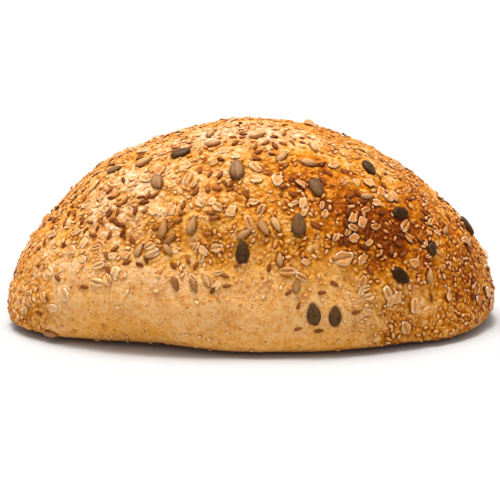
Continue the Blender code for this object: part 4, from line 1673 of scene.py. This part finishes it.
@dataclass(frozen=True)
class SeedFinish:
    """The skin of one kind of topping, from its dark to its light tone, and as toasted by the oven, with
    painted shade along its low edge next to the crust.
    """

    kind: Kind
    slot: str
    dark: Rgb
    light: Rgb
    toasted: Rgb
    toasting: float
    roughness: float
    mottle: float = 900.0
    grain: float = 1400.0
    bump: float = 0.35
    tip: Rgb = (120, 80, 50)
    tip_share: float = 0.3
    tip_from: float = 0.55
    tip_steep: float = 2.2
    rim: Rgb = (60, 40, 28)
    rim_share: float = 0.0
    rim_from: float = 0.55
    rim_full: float = 0.96
    fold: Rgb = (150, 84, 34)
    fold_share: float = 0.0
    # Painted shade along each piece's low edge next to the crust: its colour and share.
    low: Rgb = (118, 50, 6)
    low_shade_share: float = 0.6
    streak: Rgb = (60, 34, 14)
    streak_share: float = 0.0
    shine: float = 0.3

    def material(self, effects: Effects) -> bpy.types.Material:
        """Builds the material.

        Args:
            effects: The shared node groups.

        Returns:
            The material.
        """
        made, graph, shader = new_material(self.kind.value)
        colour = graph.node("Group", {
            "Dark": paint(*self.dark),
            "Light": paint(*self.light),
            "Toasted": paint(*self.toasted),
            "Tone": graph.attribute("tone"),
            "Browning": graph.attribute("browning"),
            "Toasting": self.toasting,
            "Scale": self.mottle,
        }, node_tree=effects.toasting).outputs["Color"]
        at_tip = graph.maths("SUBTRACT", graph.attribute("tip"), self.tip_from, clamp=True)
        tip_amount = graph.times(at_tip, self.tip_steep * self.tip_share, clamp=True)
        colour = graph.toned(colour, self.tip, tip_amount)
        at_rim = graph.maths("SUBTRACT", graph.attribute("edge"), self.rim_from, clamp=True)
        rim_share = graph.times(at_rim, self.rim_share / (self.rim_full - self.rim_from), clamp=True)
        colour = graph.toned(colour, self.rim, rim_share)
        if self.fold_share:
            patchy = graph.scaled(graph.noise(700, 2), 2.0, -0.3, clamp=True)
            in_fold = graph.times(graph.attribute("fold"), patchy, clamp=True)
            colour = graph.toned(colour, self.fold, graph.times(in_fold, self.fold_share))
        if self.streak_share:
            colour = graph.toned(colour, self.streak, graph.times(self.streaks(graph), self.streak_share))
        # Painted shade along the low edge next to the crust.
        colour = graph.toned(colour, self.low, graph.times(graph.attribute("low"), self.low_shade_share))
        graph.fill(shader, {
            "Base Color": colour,
            "Roughness": graph.scaled(graph.noise(500, 2), 0.2, self.roughness - 0.1),
            "Specular IOR Level": self.shine,
            "Normal": graph.bump(graph.noise(self.grain, 3), self.bump, 0.0003),
        })
        return made

    @staticmethod
    def streaks(graph: Graph) -> Socket:
        """A mask of streaks that run from tip to tip, other ones on each piece.

        Args:
            graph: The material's graph.

        Returns:
            The mask.
        """
        lanes = graph.node("CombineXYZ", {
            "X": graph.times(graph.attribute("turn"), 2.4),
            "Y": graph.times(graph.attribute("tip"), 0.8),
            "Z": graph.times(graph.attribute("tone"), 31.0),
        }).outputs[0]
        streaks = graph.node("TexNoise", {"Vector": lanes, "Scale": 1.0, "Detail": 3.0, "Roughness": 0.6})
        return graph.scaled(streaks.outputs["Fac"], 5.0, -2.3, clamp=True)


FINISHES = {finish.kind: finish for finish in (
    SeedFinish(
        Kind.PUMPKIN, "pumpkin_seed", (40, 24, 6), (172, 122, 76), (72, 40, 8), 0.30, 0.34, tip_share=0.2,
        rim=(70, 42, 18), rim_share=0.5, low=(60, 34, 12), streak=(40, 26, 12), streak_share=0.55,
        shine=0.08),
    SeedFinish(
        Kind.SUNFLOWER, "sunflower_kernel", (146, 92, 46), (236, 182, 118), (176, 98, 34), 0.30, 0.42,
        rim=(130, 72, 28), rim_share=0.5, streak=(118, 74, 38), streak_share=0.6, shine=0.16),
    SeedFinish(
        Kind.FLAKE, "oat_flake", (202, 130, 56), (236, 190, 126), (196, 112, 28), 0.85, 0.45, tip_share=0.1,
        rim=(250, 230, 194), rim_from=0.74, rim_share=0.85, fold=(170, 98, 36), fold_share=0.5, shine=0.15),
    SeedFinish(
        Kind.LINSEED, "linseed", (108, 50, 16), (176, 104, 50), (108, 44, 8), 0.40, 0.30, tip_share=0.2,
        rim=(88, 36, 8), rim_share=0.45, low=(80, 28, 2), shine=0.08),
    SeedFinish(
        Kind.SESAME, "sesame_seed", (222, 142, 56), (248, 214, 156), (204, 112, 26), 0.60, 0.34,
        tip=(206, 130, 50), rim=(190, 108, 34), rim_share=0.6, shine=0.2),
    SeedFinish(
        Kind.CRUMB, "oat_flake", (190, 114, 44), (240, 198, 140), (178, 94, 26), 0.55, 0.50, tip_share=0.0,
        shine=0.15),
)}


@dataclass
class Toppings:
    """Everything that lies on the crust. Beads are of the crust's own skin.

    A kind that isn't strewn over the front is sunk by a share of its own, and a placed topping takes room
    by its length.
    """

    spots: list[Spot]
    bed: Bed
    baking: Baking
    effects: Effects
    crust_skin: bpy.types.Material
    sunk: float = 0.25
    room_share: float = 0.36
    laid: list[Spot] = field(default_factory=list)

    def build(self) -> None:
        """Lays the toppings, those at listed places first, and dresses one piece for each kind."""
        in_solid = [placed.kind for placed in IN_SOLID]
        depths = {strewing.kind: strewing.sunk for strewing in STREWINGS}
        heaps = {kind: Strewn(kind, depths.get(kind, self.sunk), self.baking) for kind in Kind}
        for spot in self.spots:
            spot = self.bed.snapped(spot)
            heaps[spot.kind].add(spot)
            self.laid.append(spot)
            self.bed.take(spot.point, spot.length * self.room_share)
        for strewing in STREWINGS:
            for spot in self.bed.strewn(strewing):
                heaps[strewing.kind].add(spot)
                self.laid.append(spot)
        for kind, heap in heaps.items():
            piece = heap.build()
            finish = FINISHES.get(kind)
            piece.data.materials.append(finish.material(self.effects) if finish else self.crust_skin)
            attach(piece, BODY)
            finish.slot if finish else CrustFinish.slot
            if kind in in_solid:
                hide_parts(NODE)
            LOG.info("%s: %d pieces, %d faces", piece.name, heap.count, len(piece.data.polygons))


@dataclass(frozen=True)
class SoftLight:
    """A wide, far studio light: where it shines from, how wide it looks in degrees, and its strength."""

    name: str
    place: Triple
    width: float
    strength: float


@dataclass(frozen=True)
class Studio:
    """The plain pale floor, the soft lights and the camera."""

    eye: FrontEye
    floor_radius: float = 6.0
    floor_sides: int = 96
    floor_white: float = 0.53
    floor_roughness: float = 0.9
    sky: float = 0.65
    lights: tuple[SoftLight, ...] = (
        SoftLight("key", (-0.16, 0.12, 1.2), 40.0, 3.3),
        SoftLight("spark", (-0.12, 0.02, 1.2), 8.0, 0.9),
    )
    sensor_width: float = 36.0
    clip: Pair = (0.05, 50.0)

    def build(self) -> None:
        """Sets up the studio."""
        self.lay_floor()
        world = bpy.data.worlds.new("studio")
        world.use_nodes = True
        background = world.node_tree.nodes["Background"]
        Graph(world.node_tree).fill(background, {"Color": (1.0, 1.0, 1.0, 1.0), "Strength": self.sky})
        bpy.context.scene.world = world
        for light in self.lights:
            self.hang(light)
        self.set_camera()
        bpy.context.scene.view_settings.view_transform = "Standard"

    def lay_floor(self) -> None:
        """Lays a wide pale disc under the loaf."""
        disc = bmesh.new()
        bmesh.ops.create_circle(disc, cap_ends=True, segments=self.floor_sides, radius=self.floor_radius)
        mesh = bpy.data.meshes.new("floor")
        disc.to_mesh(mesh)
        disc.free()
        made, graph, shader = new_material("floor")
        white = (self.floor_white, self.floor_white, self.floor_white, 1.0)
        graph.fill(shader, {"Base Color": white, "Roughness": self.floor_roughness})
        mesh.materials.append(made)
        stand("floor", mesh)

    @staticmethod
    def hang(soft: SoftLight) -> None:
        """Hangs a soft light that shines at the loaf.

        Args:
            soft: The light.
        """
        light = bpy.data.lights.new(soft.name, "SUN")
        light.energy = soft.strength
        light.angle = radians(soft.width)
        lamp = stand(soft.name, light)
        lamp.location = soft.place
        lamp.rotation_euler = (-Vector(soft.place)).to_track_quat("-Z", "Y").to_euler()

    def set_camera(self) -> None:
        """Stands the camera at the front eye."""
        lens = bpy.data.cameras.new("camera")
        lens.sensor_width = self.sensor_width
        lens.lens = self.sensor_width / (self.eye.view_width / self.eye.distance)
        lens.clip_start, lens.clip_end = self.clip
        camera = stand("camera", lens)
        camera.location = self.eye.place
        camera.rotation_euler = self.eye.look.to_track_quat("-Z", "Y").to_euler()
        bpy.context.scene.camera = camera


def main() -> None:
    """Builds the crust, then its toppings, then the studio."""
    logging.basicConfig(level=logging.INFO, format="%(name)s: %(message)s")
    form = LoafForm()
    eye = FrontEye()
    baking = Baking(form, eye)
    effects = Effects()
    plan = ToppingPlan(form, eye)
    placed = plan.placed(IN_SOLID)
    spots = placed + plan.strewn(placed)

    maker = Crust(form, baking, spots)
    crust = maker.build()
    skin = CrustFinish().material(effects)
    crust.data.materials.append(skin)
    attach(crust, BODY)
    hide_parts(NODE)
    LOG.info("crust: %d faces", len(crust.data.polygons))

    toppings = Toppings(spots + plan.placed(SCENE_ONLY), Bed(crust, baking), baking, effects, skin)
    toppings.build()
    maker.note_nook_shade(crust, toppings.laid)
    Studio(eye).build()


if __name__ == "__main__":
    main()
